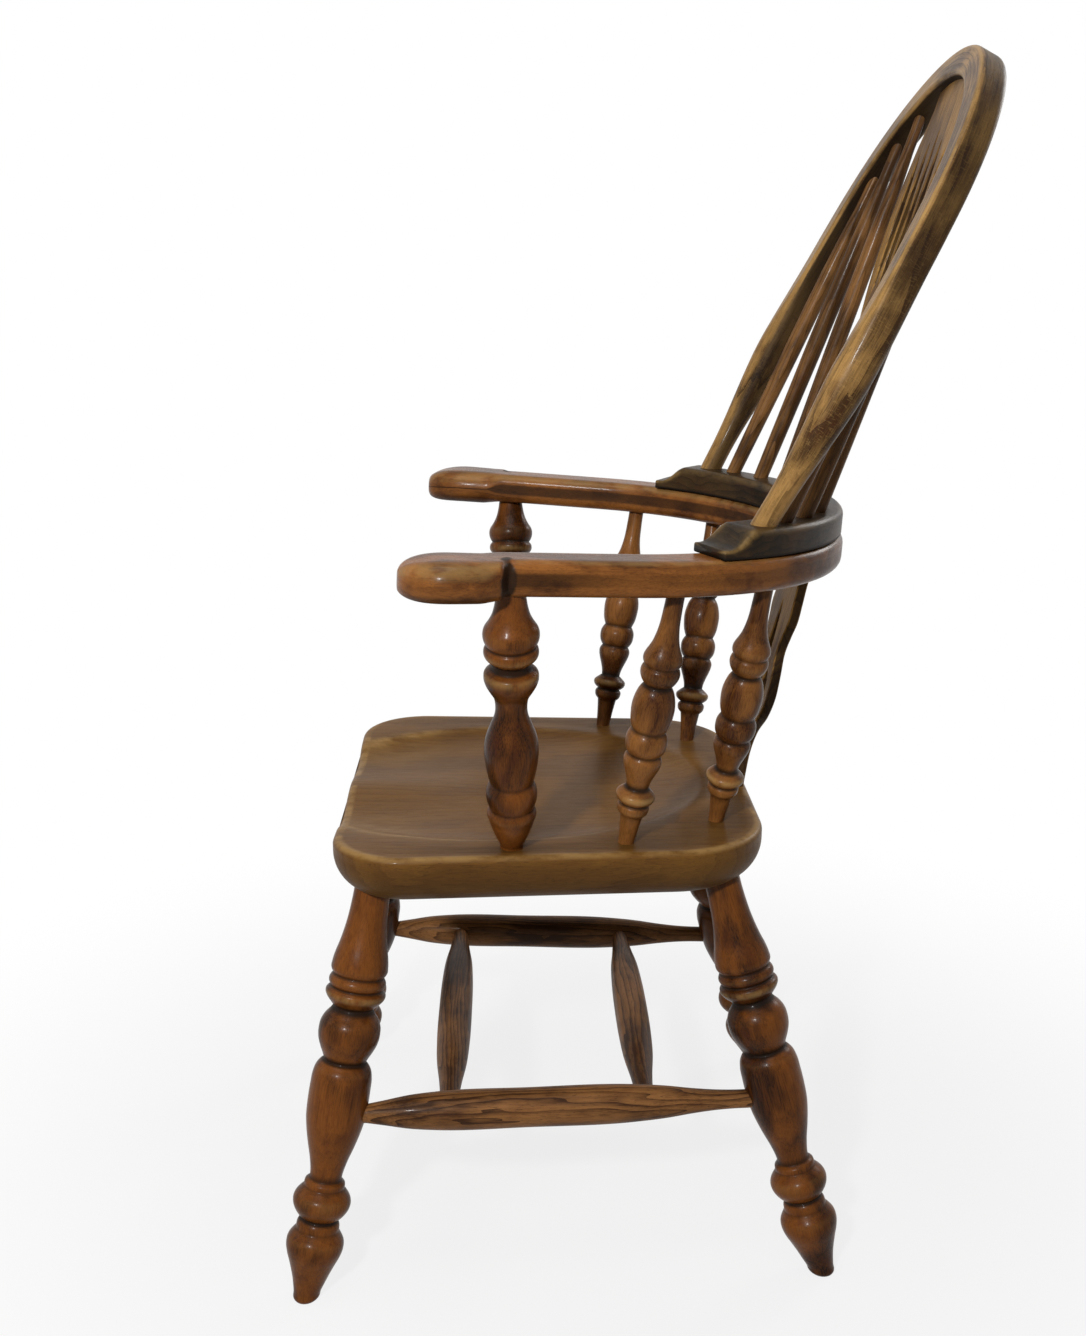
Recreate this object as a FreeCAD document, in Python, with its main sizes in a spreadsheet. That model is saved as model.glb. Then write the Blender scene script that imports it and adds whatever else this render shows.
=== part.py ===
import math
import os

import FreeCAD
import Part
import Sketcher

# A broad arm windsor chair with a high hoop back, in millimetres.
# +Z is up, the sitter faces -Y, and +X is the sitter's left hand.
# The origin lies on the floor, in the middle of the chair's outer box.
# Every round member ends in a tenon that sits in a socket of the piece that carries it.

Vector = FreeCAD.Vector
UP = Vector(0, 0, 1)
LEFT = 1
RIGHT = -1
FULL_TURN = 360
SIDES = {"left": LEFT, "right": RIGHT}

doc = FreeCAD.newDocument("windsor_chair")
sheet = doc.addObject("Spreadsheet::Sheet", "Sizes")

# Driving dimensions, one line each: name, value in millimetres or degrees
DRIVING = """
glue_gap 0.1
seat_underside 398
seat_thickness 51
seat_front_width 472
seat_rear_width 426
seat_front_edge -286
seat_rear_edge 128
seat_front_corner 70
seat_rear_corner 92
seat_under_round 37
seat_top_round 5
dish_depth 10
dish_half_width 178
dish_half_length 215
dish_middle_y -130
leg_length 408
leg_top 35
leg_tenon_length 34
foot_front_x 245
foot_front_y -318
foot_rear_x 212
foot_rear_y 193
leg_front_top_x 180
leg_front_top_y -257
leg_rear_top_x 163
leg_rear_top_y 99
stretcher_height 181
stretcher_end 18
stretcher_middle 38
stretcher_inset 6
cross_middle 36
cross_front_y -178
cross_rear_y 14
stump_bottom_x 200
stump_bottom_y -116
stump_top_x 260
stump_top_y -116
side_spindle_bottom_x 189
side_spindle_bottom_y -9
side_spindle_top_x 224
side_spindle_top_y 29
rear_spindle_bottom_x 131
rear_spindle_bottom_y 83
rear_spindle_top_x 184
rear_spindle_top_y 113
arm_back_height 687
arm_rise 2.93
arm_thickness 32
arm_round 9
bow_middle_y -53
bow_inner 217
bow_outer 267
arm_flare 10
arm_socket_depth 20
seat_socket_depth 28
crest_thickness 26
crest_inner 216
crest_outer 264.5
crest_end_turn 27
crest_round 6
hoop_lean 27.5
hoop_foot_height 749
hoop_foot_y 109
hoop_top_radius 190
hoop_top_middle 265
hoop_side_radius 777
hoop_shoulder 12
hoop_depth 38
hoop_width 34
hoop_top_depth 29
hoop_top_width 30
hoop_foot 22
hoop_tenon_length 22
hoop_taper 140
stick_bottom 15
stick_top 11
stick_socket_depth 16
splat_thickness 10
lower_splat_y 119
lower_splat_lean 14.5
upper_splat_y 190
"""


def fill_sheet():
    """Write each driving dimension into its own row, with its name as the alias."""
    for row, line in enumerate(DRIVING.split("\n")[1:-1], start=1):
        name, value = line.split()
        sheet.set(f"A{row}", name)
        sheet.set(f"B{row}", value)
        sheet.setAlias(f"B{row}", name)
    sheet.recompute()


fill_sheet()


def size(name):
    """The value of a driving dimension."""
    return float(sheet.get(name))


def cell(name):
    """The way an expression names a driving dimension."""
    return f"{sheet.Name}.{name}"


def bind(obj, target, expression):
    """Tie one property or sketch dimension to the sheet."""
    obj.setExpression(target, expression)


def origin_plane(body, role):
    """A body's own origin plane."""
    planes = [item for item in body.Origin.OriginFeatures if item.Role == role]
    return planes[0]


def new_body(label):
    """An empty body with its label."""
    body = doc.addObject("PartDesign::Body", label)
    body.Label = label
    return body


def new_sketch(body, name, role):
    """A sketch on one of the body's origin planes."""
    sketch = body.newObject("Sketcher::SketchObject", name)
    sketch.AttachmentSupport = (origin_plane(body, role), [""])
    sketch.MapMode = "FlatFace"
    return sketch


def smooth(points):
    """A straight line through two points, or one smooth curve through more."""
    vectors = [Vector(x, y, 0) for x, y in points]
    if len(vectors) == 2:
        return Part.LineSegment(vectors[0], vectors[1])
    curve = Part.BSplineCurve()
    curve.interpolate(vectors)
    return curve


def draw_loop(sketch, stretches):
    """Draw stretches end to end as a closed outline, and return their indices."""
    indices = [sketch.addGeometry(smooth(points), False) for points in stretches]
    following = indices[1:] + indices[:1]
    for here, after in zip(indices, following):
        sketch.addConstraint(Sketcher.Constraint("Coincident", here, 2, after, 1))
    return indices


def name_dimension(sketch, constraint, name, expression):
    """Add a named dimension to a sketch and tie it to the sheet."""
    index = sketch.addConstraint(constraint)
    sketch.renameConstraint(index, name)
    bind(sketch, f"Constraints.{name}", expression)


def turned(label, stretches, start_size, end_size):
    """A round member turned about its own Z axis.

    Each stretch is a smooth run of (height, diameter) pairs, and the first and last
    diameters are tied to the sheet.
    """
    body = new_body(label)
    sketch = new_sketch(body, label + "_outline", "XZ_Plane")
    runs = [[(diameter / 2, height) for height, diameter in run] for run in stretches]
    first = runs[0][0]
    last = runs[-1][-1]
    foot = [(0, first[1]), first]
    head = [last, (0, last[1])]
    spine = [(0, last[1]), (0, first[1])]
    indices = draw_loop(sketch, [foot] + runs + [head, spine])
    spine_index = indices[-1]
    head_index = indices[-2]
    sketch.addConstraint(Sketcher.Constraint("PointOnObject", spine_index, 1, -2))
    sketch.addConstraint(Sketcher.Constraint("PointOnObject", spine_index, 2, -2))
    sketch.addConstraint(Sketcher.Constraint("Horizontal", indices[0]))
    sketch.addConstraint(Sketcher.Constraint("Horizontal", head_index))
    start_rule = Sketcher.Constraint("DistanceX", indices[0], 1, indices[0], 2, first[0])
    name_dimension(sketch, start_rule, "start_radius", start_size + " / 2")
    end_rule = Sketcher.Constraint("DistanceX", head_index, 2, head_index, 1, last[0])
    name_dimension(sketch, end_rule, "end_radius", end_size + " / 2")
    doc.recompute()
    turning = body.newObject("PartDesign::Revolution", label + "_turning")
    turning.Profile = sketch
    turning.ReferenceAxis = (sketch, ["V_Axis"])
    turning.Angle = FULL_TURN
    body.Tip = turning
    return body


def point(name, side, height):
    """A named place on one side of the chair."""
    return Vector(side * size(name + "_x"), size(name + "_y"), height)


def aim(start, end):
    """The placement that carries the Z axis from start towards end."""
    return FreeCAD.Placement(start, FreeCAD.Rotation(UP, end - start))


def leaning(base, lean):
    """A placement whose Y axis rises, leaning back, and whose Z axis faces the sitter."""
    return FreeCAD.Placement(base, FreeCAD.Rotation(Vector(1, 0, 0), 90 - lean))


def between(start, end, share):
    """The point at a share of the way from start to end."""
    return start + (end - start) * share


def socket(name, placement, diameter, depth, start=0):
    """A drilled hole along a placement's Z axis, wider than its tenon by the glue gap."""
    hole = doc.addObject("Part::Cylinder", name)
    hole.Placement = placement.multiply(FreeCAD.Placement(Vector(0, 0, start), FreeCAD.Rotation()))
    hole.Height = depth
    bind(hole, "Radius", f"{diameter} / 2 + {cell('glue_gap')}")
    return hole


def slot(name, placement, width, thickness, depth, start=0):
    """A mortise along a placement's Y axis, centred on its X and Z axes."""
    gap = size("glue_gap")
    block = doc.addObject("Part::Box", name)
    block.Length = width + 2 * gap
    block.Width = depth
    block.Height = thickness + 2 * gap
    corner = Vector(-width / 2 - gap, start, -thickness / 2 - gap)
    block.Placement = placement.multiply(FreeCAD.Placement(corner, FreeCAD.Rotation()))
    return block


def cut(label, base, tools):
    """The base piece with its sockets and slots cut out, under its own label."""
    gathered = doc.addObject("Part::MultiFuse", label + "_tools")
    gathered.Shapes = tools
    result = doc.addObject("Part::Cut", label)
    result.Base = base
    result.Tool = gathered if len(tools) > 1 else tools[0]
    if len(tools) == 1:
        doc.removeObject(gathered.Name)
    base.Label = label + "_blank"
    result.Label = label
    return result


def edges_where(shape, test):
    """The names of a shape's edges that pass a test."""
    return [f"Edge{number}" for number, edge in enumerate(shape.Edges, start=1) if test(edge)]


def round_edges(body, name, test, radius_name):
    """Round the edges of a body's last feature that pass a test."""
    doc.recompute()
    feature = body.Tip
    fillet = body.newObject("PartDesign::Fillet", name)
    fillet.Base = (feature, edges_where(feature.Shape, test))
    bind(fillet, "Radius", cell(radius_name))
    body.Tip = fillet
    return fillet


def lies_at(height):
    """A test for edges that lie in the plane Z = height."""
    return lambda edge: all(abs(vertex.Z - height) < 0.01 for vertex in edge.Vertexes)


def pad_outline(body, sketch, name, thickness):
    """Raise a sketch to a plank of the given thickness."""
    doc.recompute()
    pad = body.newObject("PartDesign::Pad", name)
    pad.Profile = sketch
    bind(pad, "Length", thickness)
    body.Tip = pad
    return pad


pieces = {}

# Legs
# One turning for all four: foot vase, bulb between two collars, long vase, ball, two rings
# and a cup that runs up into the tenon. Each run holds heights along the leg and diameters.
FOOT_SPARE = 5
LEG_FOOT = 20
LEG_TURNING = [
    [(-FOOT_SPARE, LEG_FOOT), (6, 25.5)],
    [(6, 25.5), (18, 32), (28, 38.5), (38, 46), (47, 53), (55, 56.3), (62, 54.5), (68, 47), (71, 42.5)],
    [(71, 42.5), (73.5, 42.3), (77, 41.5), (80, 38.5), (82, 35)],
    [(82, 35), (85, 42.5), (90, 50.5), (96, 55.8), (101, 56.5), (106, 53), (111, 45), (114, 39.5)],
    [(114, 39.5), (117, 39.8), (120, 37), (121.5, 31)],
    [(121.5, 31), (128, 32), (140, 36.8), (157, 46.5), (169, 52.5), (181, 57), (197, 59), (213, 59),
     (226, 57.5), (233, 53.5), (237.5, 47), (240, 40.5)],
    [(240, 40.5), (245, 45), (252, 52), (261, 58.5), (269, 60), (277, 58), (284, 51), (289, 43), (293, 39)],
    [(293, 39), (297, 46.5), (302, 55), (306, 58.5), (309.5, 56.5), (312, 49)],
    [(312, 49), (315.5, 54.5), (321, 54), (324.5, 48.5)],
    [(324.5, 48.5), (329, 54.5), (335, 54.5), (343, 52), (352, 47.5), (363, 43), (376, 39), (390, 36.5),
     (size("leg_length"), size("leg_top"))],
    [(size("leg_length"), size("leg_top")),
     (size("leg_length") + size("leg_tenon_length"), size("leg_top"))],
]
FLOOR_BOX = 90


def leg_axis(end, side):
    """The foot and the top of one leg's axis."""
    foot = point("foot_" + end, side, 0)
    top = point("leg_" + end + "_top", side, size("seat_underside"))
    return foot, top


def stretcher_axis(side):
    """The two points where a side stretcher's axis meets the leg axes."""
    share = size("stretcher_height") / size("seat_underside")
    front = between(*leg_axis("front", side), share)
    rear = between(*leg_axis("rear", side), share)
    return front, rear


def cross_axis(end):
    """The two points where a cross stretcher's axis meets the side stretchers."""
    ends = []
    for side in (LEFT, RIGHT):
        front, rear = stretcher_axis(side)
        share = (size("cross_" + end + "_y") - front.y) / (rear.y - front.y)
        ends.append(between(front, rear, share))
    return ends


# Distances from the front leg's axis, and diameters
SIDE_BELLY = [(33, size("stretcher_end")), (50, 23.5), (75, 32), (100, 36.5),
              (190, size("stretcher_middle")), (290, 36.5), (325, 31), (352, 24), (376, 19.5),
              (396, size("stretcher_end"))]
CROSS_RISE = [(21, size("stretcher_end")), (55, 23), (95, 31), (135, 34.5)]


def stretcher(label, start, end, belly):
    """A stretcher between two axes: a long belly between two straight ends."""
    thin = size("stretcher_end")
    near = (size("stretcher_inset"), thin)
    far = ((end - start).Length - size("stretcher_inset"), thin)
    stretches = [[near, belly[0]], belly, [belly[-1], far]]
    body = turned(label, stretches, cell("stretcher_end"), cell("stretcher_end"))
    body.Placement = aim(start, end)
    return body


def side_stretcher(side_name, side):
    """A side stretcher, thick in the middle, with a longer neck towards the rear leg."""
    front, rear = stretcher_axis(side)
    return stretcher("side_stretcher_" + side_name, front, rear, SIDE_BELLY)


def cross_stretcher(end):
    """A cross stretcher, alike at both ends."""
    left, right = cross_axis(end)
    length = (right - left).Length
    fall = [(length - height, diameter) for height, diameter in reversed(CROSS_RISE)]
    belly = CROSS_RISE + [(length / 2, size("cross_middle"))] + fall
    return stretcher("cross_stretcher_" + end, left, right, belly)


def leg(end, side_name, side):
    """A leg, cut flat at the floor, with the socket of its side stretcher."""
    label = f"leg_{end}_{side_name}"
    foot, top = leg_axis(end, side)
    body = turned(label + "_turned", LEG_TURNING, str(LEG_FOOT), cell("leg_top"))
    body.Placement = aim(foot, top)
    floor = doc.addObject("Part::Box", label + "_floor")
    floor.Length = FLOOR_BOX
    floor.Width = FLOOR_BOX
    floor.Height = FLOOR_BOX
    floor.Placement.Base = Vector(foot.x - FLOOR_BOX / 2, foot.y - FLOOR_BOX / 2, -FLOOR_BOX)
    front, rear = stretcher_axis(side)
    start, far = (front, rear) if end == "front" else (rear, front)
    inset = size("stretcher_inset") - size("glue_gap")
    hole = socket(label + "_socket", aim(start, far), cell("stretcher_end"), FLOOR_BOX, inset)
    return cut(label, body, [floor, hole])


def stretchers():
    """The two cross stretchers, and the side stretchers with their sockets."""
    for end in ("front", "rear"):
        pieces["cross_stretcher_" + end] = cross_stretcher(end)
    for side_name, side in SIDES.items():
        blank = side_stretcher(side_name, side)
        blank.Label = "side_stretcher_" + side_name + "_turned"
        holes = []
        for end in ("front", "rear"):
            left, right = cross_axis(end)
            start, far = (left, right) if side == LEFT else (right, left)
            inset = size("stretcher_inset") - size("glue_gap")
            name = f"side_stretcher_{side_name}_{end}_socket"
            holes.append(socket(name, aim(start, far), cell("stretcher_end"), FLOOR_BOX, inset))
        pieces["side_stretcher_" + side_name] = cut("side_stretcher_" + side_name, blank, holes)


def legs():
    """The four legs."""
    for end in ("front", "rear"):
        for side_name, side in SIDES.items():
            pieces[f"leg_{end}_{side_name}"] = leg(end, side_name, side)


# Arm bow
# The arms and the crest are drawn flat on the bow's own plane, which rises to the front.
# The pivot of that plane is the middle of the bow at the back.


def bow_placement(height=0):
    """The placement of the arm bow's plane, raised by a height above the arms' underside."""
    turn = FreeCAD.Rotation(Vector(1, 0, 0), -size("arm_rise"))
    pivot_y = size("bow_middle_y") + (size("bow_inner") + size("bow_outer")) / 2
    pivot = Vector(0, pivot_y, 0)
    base = Vector(0, pivot_y, size("arm_back_height")) - turn.multVec(pivot)
    return FreeCAD.Placement(base + turn.multVec(Vector(0, 0, height)), turn)


def bow_point(radius, turn_degrees, side=LEFT):
    """A point of the bow's plane at a radius and an angle from the sitter's left."""
    angle = math.radians(turn_degrees)
    return side * radius * math.cos(angle), size("bow_middle_y") + radius * math.sin(angle)


def under_arm(x, y):
    """The height of the arms' underside at a place."""
    placement = bow_placement()
    normal = placement.Rotation.multVec(UP)
    return placement.Base.z - (normal.x * x + normal.y * (y - placement.Base.y)) / normal.z


def post_axis(kind, side):
    """The points where a post leaves the seat and meets the arm."""
    bottom = point(kind + "_bottom", side, size("seat_underside") + size("seat_thickness"))
    top = point(kind + "_top", side, 0)
    top.z = under_arm(top.x, top.y)
    return bottom, top


def turned_post(label, kind, side, profile):
    """An upright between the seat and the arm, with a plain tenon at both ends.

    The profile is in shares of the visible length from the seat, with diameters.
    """
    bottom, top = post_axis(kind, side)
    length = (top - bottom).Length
    first = profile[0][0][1]
    last = profile[-1][-1][1]
    runs = [[(share * length, diameter) for share, diameter in run] for run in profile]
    lower_tenon = [(-size("seat_socket_depth"), first), (runs[0][0][0], first)]
    upper_tenon = [(length, last), (length + size("arm_socket_depth"), last)]
    body = turned(label, [lower_tenon] + runs + [upper_tenon], str(first), str(last))
    body.Placement = aim(bottom, top)
    return body


STUMP = [
    [(0.018, 22), (0.045, 28.5), (0.081, 36), (0.121, 42.5), (0.152, 46), (0.174, 41)],
    [(0.174, 41), (0.192, 44.5), (0.222, 47.5), (0.255, 45.5), (0.278, 40)],
    [(0.278, 40), (0.313, 44.5), (0.354, 48), (0.404, 50), (0.45, 47.5), (0.505, 38), (0.545, 30.5),
     (0.586, 29), (0.616, 32), (0.641, 39.5), (0.667, 46.5), (0.692, 49.5), (0.714, 46), (0.726, 36)],
    [(0.726, 36), (0.736, 34.5), (0.75, 35.5), (0.757, 40)],
    [(0.757, 40), (0.768, 46), (0.788, 49.3), (0.803, 47), (0.811, 43)],
    [(0.811, 43), (0.823, 47), (0.848, 50.5), (0.872, 48.5), (0.895, 41), (0.92, 34.5), (0.95, 30),
     (0.985, 27), (1, 26)],
]
SPINDLE = [
    [(0, 15), (0.045, 17), (0.09, 19.5), (0.12, 21.5)],
    [(0.12, 21.5), (0.132, 27.5), (0.148, 30), (0.162, 29), (0.17, 25)],
    [(0.17, 25), (0.182, 33), (0.195, 36.5), (0.208, 36), (0.222, 29), (0.234, 21)],
    [(0.234, 21), (0.25, 21.8), (0.28, 26), (0.31, 31.5), (0.335, 35), (0.355, 35), (0.372, 30)],
    [(0.372, 30), (0.39, 36), (0.418, 39), (0.445, 37.5), (0.468, 31)],
    [(0.468, 31), (0.49, 35.5), (0.53, 39), (0.565, 39.5), (0.6, 36.5), (0.63, 31), (0.647, 25)],
    [(0.647, 25), (0.66, 30), (0.68, 35), (0.7, 36.3), (0.713, 34.5), (0.722, 31)],
    [(0.722, 31), (0.735, 35), (0.753, 35.8), (0.77, 33), (0.787, 29), (0.81, 24.5), (0.83, 22),
     (0.865, 19), (0.93, 17), (1, 16.5)],
]
POSTS = {"stump": ("arm_stump", STUMP), "side_spindle": ("side_spindle", SPINDLE),
         "rear_spindle": ("rear_spindle", SPINDLE)}


def posts():
    """The arm stumps and the spindles on both sides."""
    for kind, (name, profile) in POSTS.items():
        for side_name, side in SIDES.items():
            label = f"{name}_{side_name}"
            pieces[label] = turned_post(label, kind, side, profile)


def post_sockets(label, sides, into_arm):
    """The sockets of the posts, in the seat or in an arm."""
    holes = []
    gap = size("glue_gap")
    for kind, (name, profile) in POSTS.items():
        for side in sides:
            bottom, top = post_axis(kind, side)
            length = (top - bottom).Length
            diameter = profile[-1][-1][1] if into_arm else profile[0][0][1]
            start = length - size("arm_socket_depth") if into_arm else -size("seat_socket_depth") - gap
            depth = 2 * size("arm_socket_depth") + gap if into_arm else 2 * size("seat_socket_depth")
            holes.append(socket(f"{label}_{kind}_{side}", aim(bottom, top), str(diameter), depth, start))
    return holes


def arc(middle, radius, start, end):
    """An arc from one angle to another, in degrees, counter-clockwise."""
    circle = Part.Circle(Vector(middle[0], middle[1], 0), UP, radius)
    return Part.ArcOfCircle(circle, math.radians(start), math.radians(end))


# The hand's outline from the inner wrist round the tip to the outer notch
WRIST_Y = -140
NOTCH_Y = -102
HAND = [(238, -168), (249, -196), (275, -212), (301, -198), (311, -168), (304.5, -141), (293, -123)]


def arm_outline(sketch, side):
    """Half the bow, a straight flared arm and a broad rounded hand with an outer notch."""
    flare = size("arm_flare")
    inner = size("bow_inner")
    outer = size("bow_outer")
    middle = (0, size("bow_middle_y"))
    forward = (side * math.sin(math.radians(flare)), -math.cos(math.radians(flare)))
    inner_start = bow_point(inner, flare, side)
    outer_start = bow_point(outer, flare, side)
    inner_run = (inner_start[1] - WRIST_Y) / -forward[1]
    outer_run = (outer_start[1] - NOTCH_Y) / -forward[1]
    wrist = (inner_start[0] + inner_run * forward[0], WRIST_Y)
    notch = (outer_start[0] + outer_run * forward[0], NOTCH_Y)
    if side == LEFT:
        angles = (flare, 90)
    else:
        angles = (90, 180 - flare)
    inner_arc = sketch.addGeometry(arc(middle, inner, *angles), False)
    outer_arc = sketch.addGeometry(arc(middle, outer, *angles), False)
    sketch.addGeometry(smooth([inner_start, wrist]), False)
    sketch.addGeometry(smooth([outer_start, notch]), False)
    hand = [wrist] + [(side * x, y) for x, y in HAND] + [notch]
    lobe = Part.BSplineCurve()
    ahead = Vector(*forward, 0)
    through = [Vector(x, y, 0) for x, y in hand]
    lobe.interpolate(Points=through, InitialTangent=ahead, FinalTangent=ahead * -1)
    sketch.addGeometry(lobe, False)
    sketch.addGeometry(smooth([(0, middle[1] + inner), (0, middle[1] + outer)]), False)
    inner_size = Sketcher.Constraint("Radius", inner_arc, inner)
    outer_size = Sketcher.Constraint("Radius", outer_arc, outer)
    name_dimension(sketch, inner_size, "inner_radius", cell("bow_inner"))
    name_dimension(sketch, outer_size, "outer_radius", cell("bow_outer"))


JOINT_REACH = 1


def arm(side_name, side, screws, splat_slot):
    """An arm: half the bow and one hand, rounded above and below, with its sockets."""
    label = "arm_" + side_name
    body = new_body(label + "_shaped")
    sketch = new_sketch(body, label + "_outline", "XY_Plane")
    arm_outline(sketch, side)
    pad_outline(body, sketch, label + "_plank", cell("arm_thickness"))
    below = lies_at(0)
    above = lies_at(size("arm_thickness"))

    def away_from_joint(edge):
        """An upper or lower edge, other than at the joint of the two arms."""
        reaches_out = any(abs(vertex.X) > JOINT_REACH for vertex in edge.Vertexes)
        return (below(edge) or above(edge)) and reaches_out

    round_edges(body, label + "_rounding", away_from_joint, "arm_round")
    body.Placement = bow_placement()
    holes = post_sockets(label, [side], True)
    return cut(label, body, holes + screws + splat_slot)


def crest(holes):
    """The raised back piece: a ring sector with a stepped cove at each front end."""
    body = new_body("arm_crest_shaped")
    sketch = new_sketch(body, "arm_crest_outline", "XY_Plane")
    inner = size("crest_inner")
    outer = size("crest_outer")
    turn = size("crest_end_turn")
    middle = (0, size("bow_middle_y"))
    sketch.addGeometry(arc(middle, inner, turn, 180 - turn), False)
    sketch.addGeometry(arc(middle, outer, turn, 180 - turn), False)
    for side in (LEFT, RIGHT):
        sketch.addGeometry(smooth([bow_point(inner, turn, side), bow_point(outer, turn, side)]), False)
    pad_outline(body, sketch, "arm_crest_plank", cell("crest_thickness"))
    above = lies_at(size("crest_thickness"))

    def long_top(edge):
        """An upper edge along the sector."""
        return above(edge) and edge.Length > outer

    round_edges(body, "arm_crest_rounding", long_top, "crest_round")
    body.Placement = bow_placement(size("arm_thickness"))
    return cut("arm_crest", body, crest_steps() + holes)


CREST_LIP = 8.5
CREST_LIP_LENGTH = 26


def crest_steps():
    """At each front end, the space above the thin lip: a cove and a clear box before it."""
    tools = []
    rise = size("crest_thickness") - CREST_LIP
    for side in (LEFT, RIGHT):
        turn = size("crest_end_turn")
        radial = FreeCAD.Rotation(UP, turn if side == LEFT else 180 - turn)
        corner = Vector(*bow_point(size("crest_inner") - rise, turn, side), 0)
        start = FreeCAD.Placement(corner, radial)
        cove = doc.addObject("Part::Cylinder", f"crest_cove_{side}")
        cove.Radius = rise
        cove.Height = size("crest_outer")
        lie = FreeCAD.Placement(Vector(0, side * (CREST_LIP_LENGTH - rise), size("crest_thickness")),
                                FreeCAD.Rotation(Vector(0, 1, 0), 90))
        cove.Placement = bow_placement(size("arm_thickness")).multiply(start).multiply(lie)
        box = doc.addObject("Part::Box", f"crest_clear_{side}")
        box.Length = size("crest_outer")
        box.Width = 3 * CREST_LIP_LENGTH
        box.Height = 2 * rise
        back = CREST_LIP_LENGTH - rise
        low_y = back - box.Width.Value if side == LEFT else -back
        clear = FreeCAD.Placement(Vector(0, low_y, CREST_LIP), FreeCAD.Rotation())
        box.Placement = bow_placement(size("arm_thickness")).multiply(start).multiply(clear)
        tools = tools + [cove, box]
    return tools


# Seat

# How far below the end of a leg's turning its socket starts, so that it cuts the slanting underside
LEG_SOCKET_ENTRY = 12


def rounded_outline(sketch, corners):
    """A closed outline of straight edges with a tangent arc at each corner.

    Corners are (x, y, name of the radius), counter-clockwise. Returns the lines.
    """
    arcs = []
    count = len(corners)
    for index, (x, y, radius_name) in enumerate(corners):
        radius = size(radius_name)
        here = Vector(x, y, 0)
        before = Vector(*corners[index - 1][:2], 0)
        after = Vector(*corners[(index + 1) % count][:2], 0)
        back = (before - here).normalize()
        onward = (after - here).normalize()
        half_angle = back.getAngle(onward) / 2
        run = radius / math.tan(half_angle)
        middle = here + (back + onward).normalize() * (radius / math.sin(half_angle))
        start = here + back * run - middle
        end = here + onward * run - middle
        angles = [math.degrees(math.atan2(ray.y, ray.x)) for ray in (start, end)]
        arcs.append(arc((middle.x, middle.y), radius, *angles))
    arc_indices = [sketch.addGeometry(curve, False) for curve in arcs]
    line_indices = []
    for index, curve in enumerate(arcs):
        following = arcs[(index + 1) % count]
        edge = Part.LineSegment(curve.EndPoint, following.StartPoint)
        line_indices.append(sketch.addGeometry(edge, False))
    for index, (here, line) in enumerate(zip(arc_indices, line_indices)):
        following = arc_indices[(index + 1) % count]
        sketch.addConstraint(Sketcher.Constraint("Tangent", here, 2, line, 1))
        sketch.addConstraint(Sketcher.Constraint("Tangent", line, 2, following, 1))
        rule = Sketcher.Constraint("Radius", here, arcs[index].Radius)
        name_dimension(sketch, rule, f"corner_{index}", cell(corners[index][2]))
    return line_indices


def seat(splat_slot):
    """The seat plank with its dished top and all its sockets."""
    body = new_body("seat_shaped")
    sketch = new_sketch(body, "seat_outline", "XY_Plane")
    front_half = size("seat_front_width") / 2
    rear_half = size("seat_rear_width") / 2
    front = size("seat_front_edge")
    rear = size("seat_rear_edge")
    corners = [(front_half, front, "seat_front_corner"), (rear_half, rear, "seat_rear_corner"),
               (-rear_half, rear, "seat_rear_corner"), (-front_half, front, "seat_front_corner")]
    lines = rounded_outline(sketch, corners)
    name_dimension(sketch, Sketcher.Constraint("DistanceY", -1, 1, lines[1], 1, rear), "rear_edge",
                   cell("seat_rear_edge"))
    name_dimension(sketch, Sketcher.Constraint("DistanceY", lines[3], 1, -1, 1, -front), "front_edge",
                   "-" + cell("seat_front_edge"))
    pad_outline(body, sketch, "seat_plank", cell("seat_thickness"))
    round_edges(body, "seat_under_rounding", lies_at(0), "seat_under_round")
    round_edges(body, "seat_top_rounding", lies_at(size("seat_thickness")), "seat_top_round")
    body.Placement.Base = Vector(0, 0, size("seat_underside"))
    holes = post_sockets("seat", (LEFT, RIGHT), False)
    for end in ("front", "rear"):
        for side in (LEFT, RIGHT):
            start = size("leg_length") - LEG_SOCKET_ENTRY
            depth = LEG_SOCKET_ENTRY + size("leg_tenon_length") + size("glue_gap")
            placement = aim(*leg_axis(end, side))
            holes.append(socket(f"seat_leg_{end}_{side}", placement, cell("leg_top"), depth, start))
    pieces["seat"] = cut("seat", body, [dish()] + holes + [splat_slot])


DISH_HEIGHT = 40


def dish():
    """A shallow oval hollow that runs out through the seat's front edge."""
    bowl = doc.addObject("Part::Ellipsoid", "seat_dish")
    spread = math.sqrt(1 - ((DISH_HEIGHT - size("dish_depth")) / DISH_HEIGHT) ** 2)
    bowl.Radius1 = DISH_HEIGHT
    bowl.Radius2 = size("dish_half_width") / spread
    bowl.Radius3 = size("dish_half_length") / spread
    bind(bowl, "Radius2", f"{cell('dish_half_width')} / {spread:.5f}")
    bind(bowl, "Radius3", f"{cell('dish_half_length')} / {spread:.5f}")
    top = size("seat_underside") + size("seat_thickness")
    bowl.Placement.Base = Vector(0, size("dish_middle_y"), top + DISH_HEIGHT - size("dish_depth"))
    return bowl


# Hoop back
# The hoop is drawn in its own plane: X across the chair, Y up the lean, Z towards the sitter.
# Each side is one long arc from the foot, tangent to the round top arc.


def hoop_placement():
    """The hoop's plane, with its origin between the feet on the crest."""
    return leaning(Vector(0, size("hoop_foot_y"), size("hoop_foot_height")), size("hoop_lean"))


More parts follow.
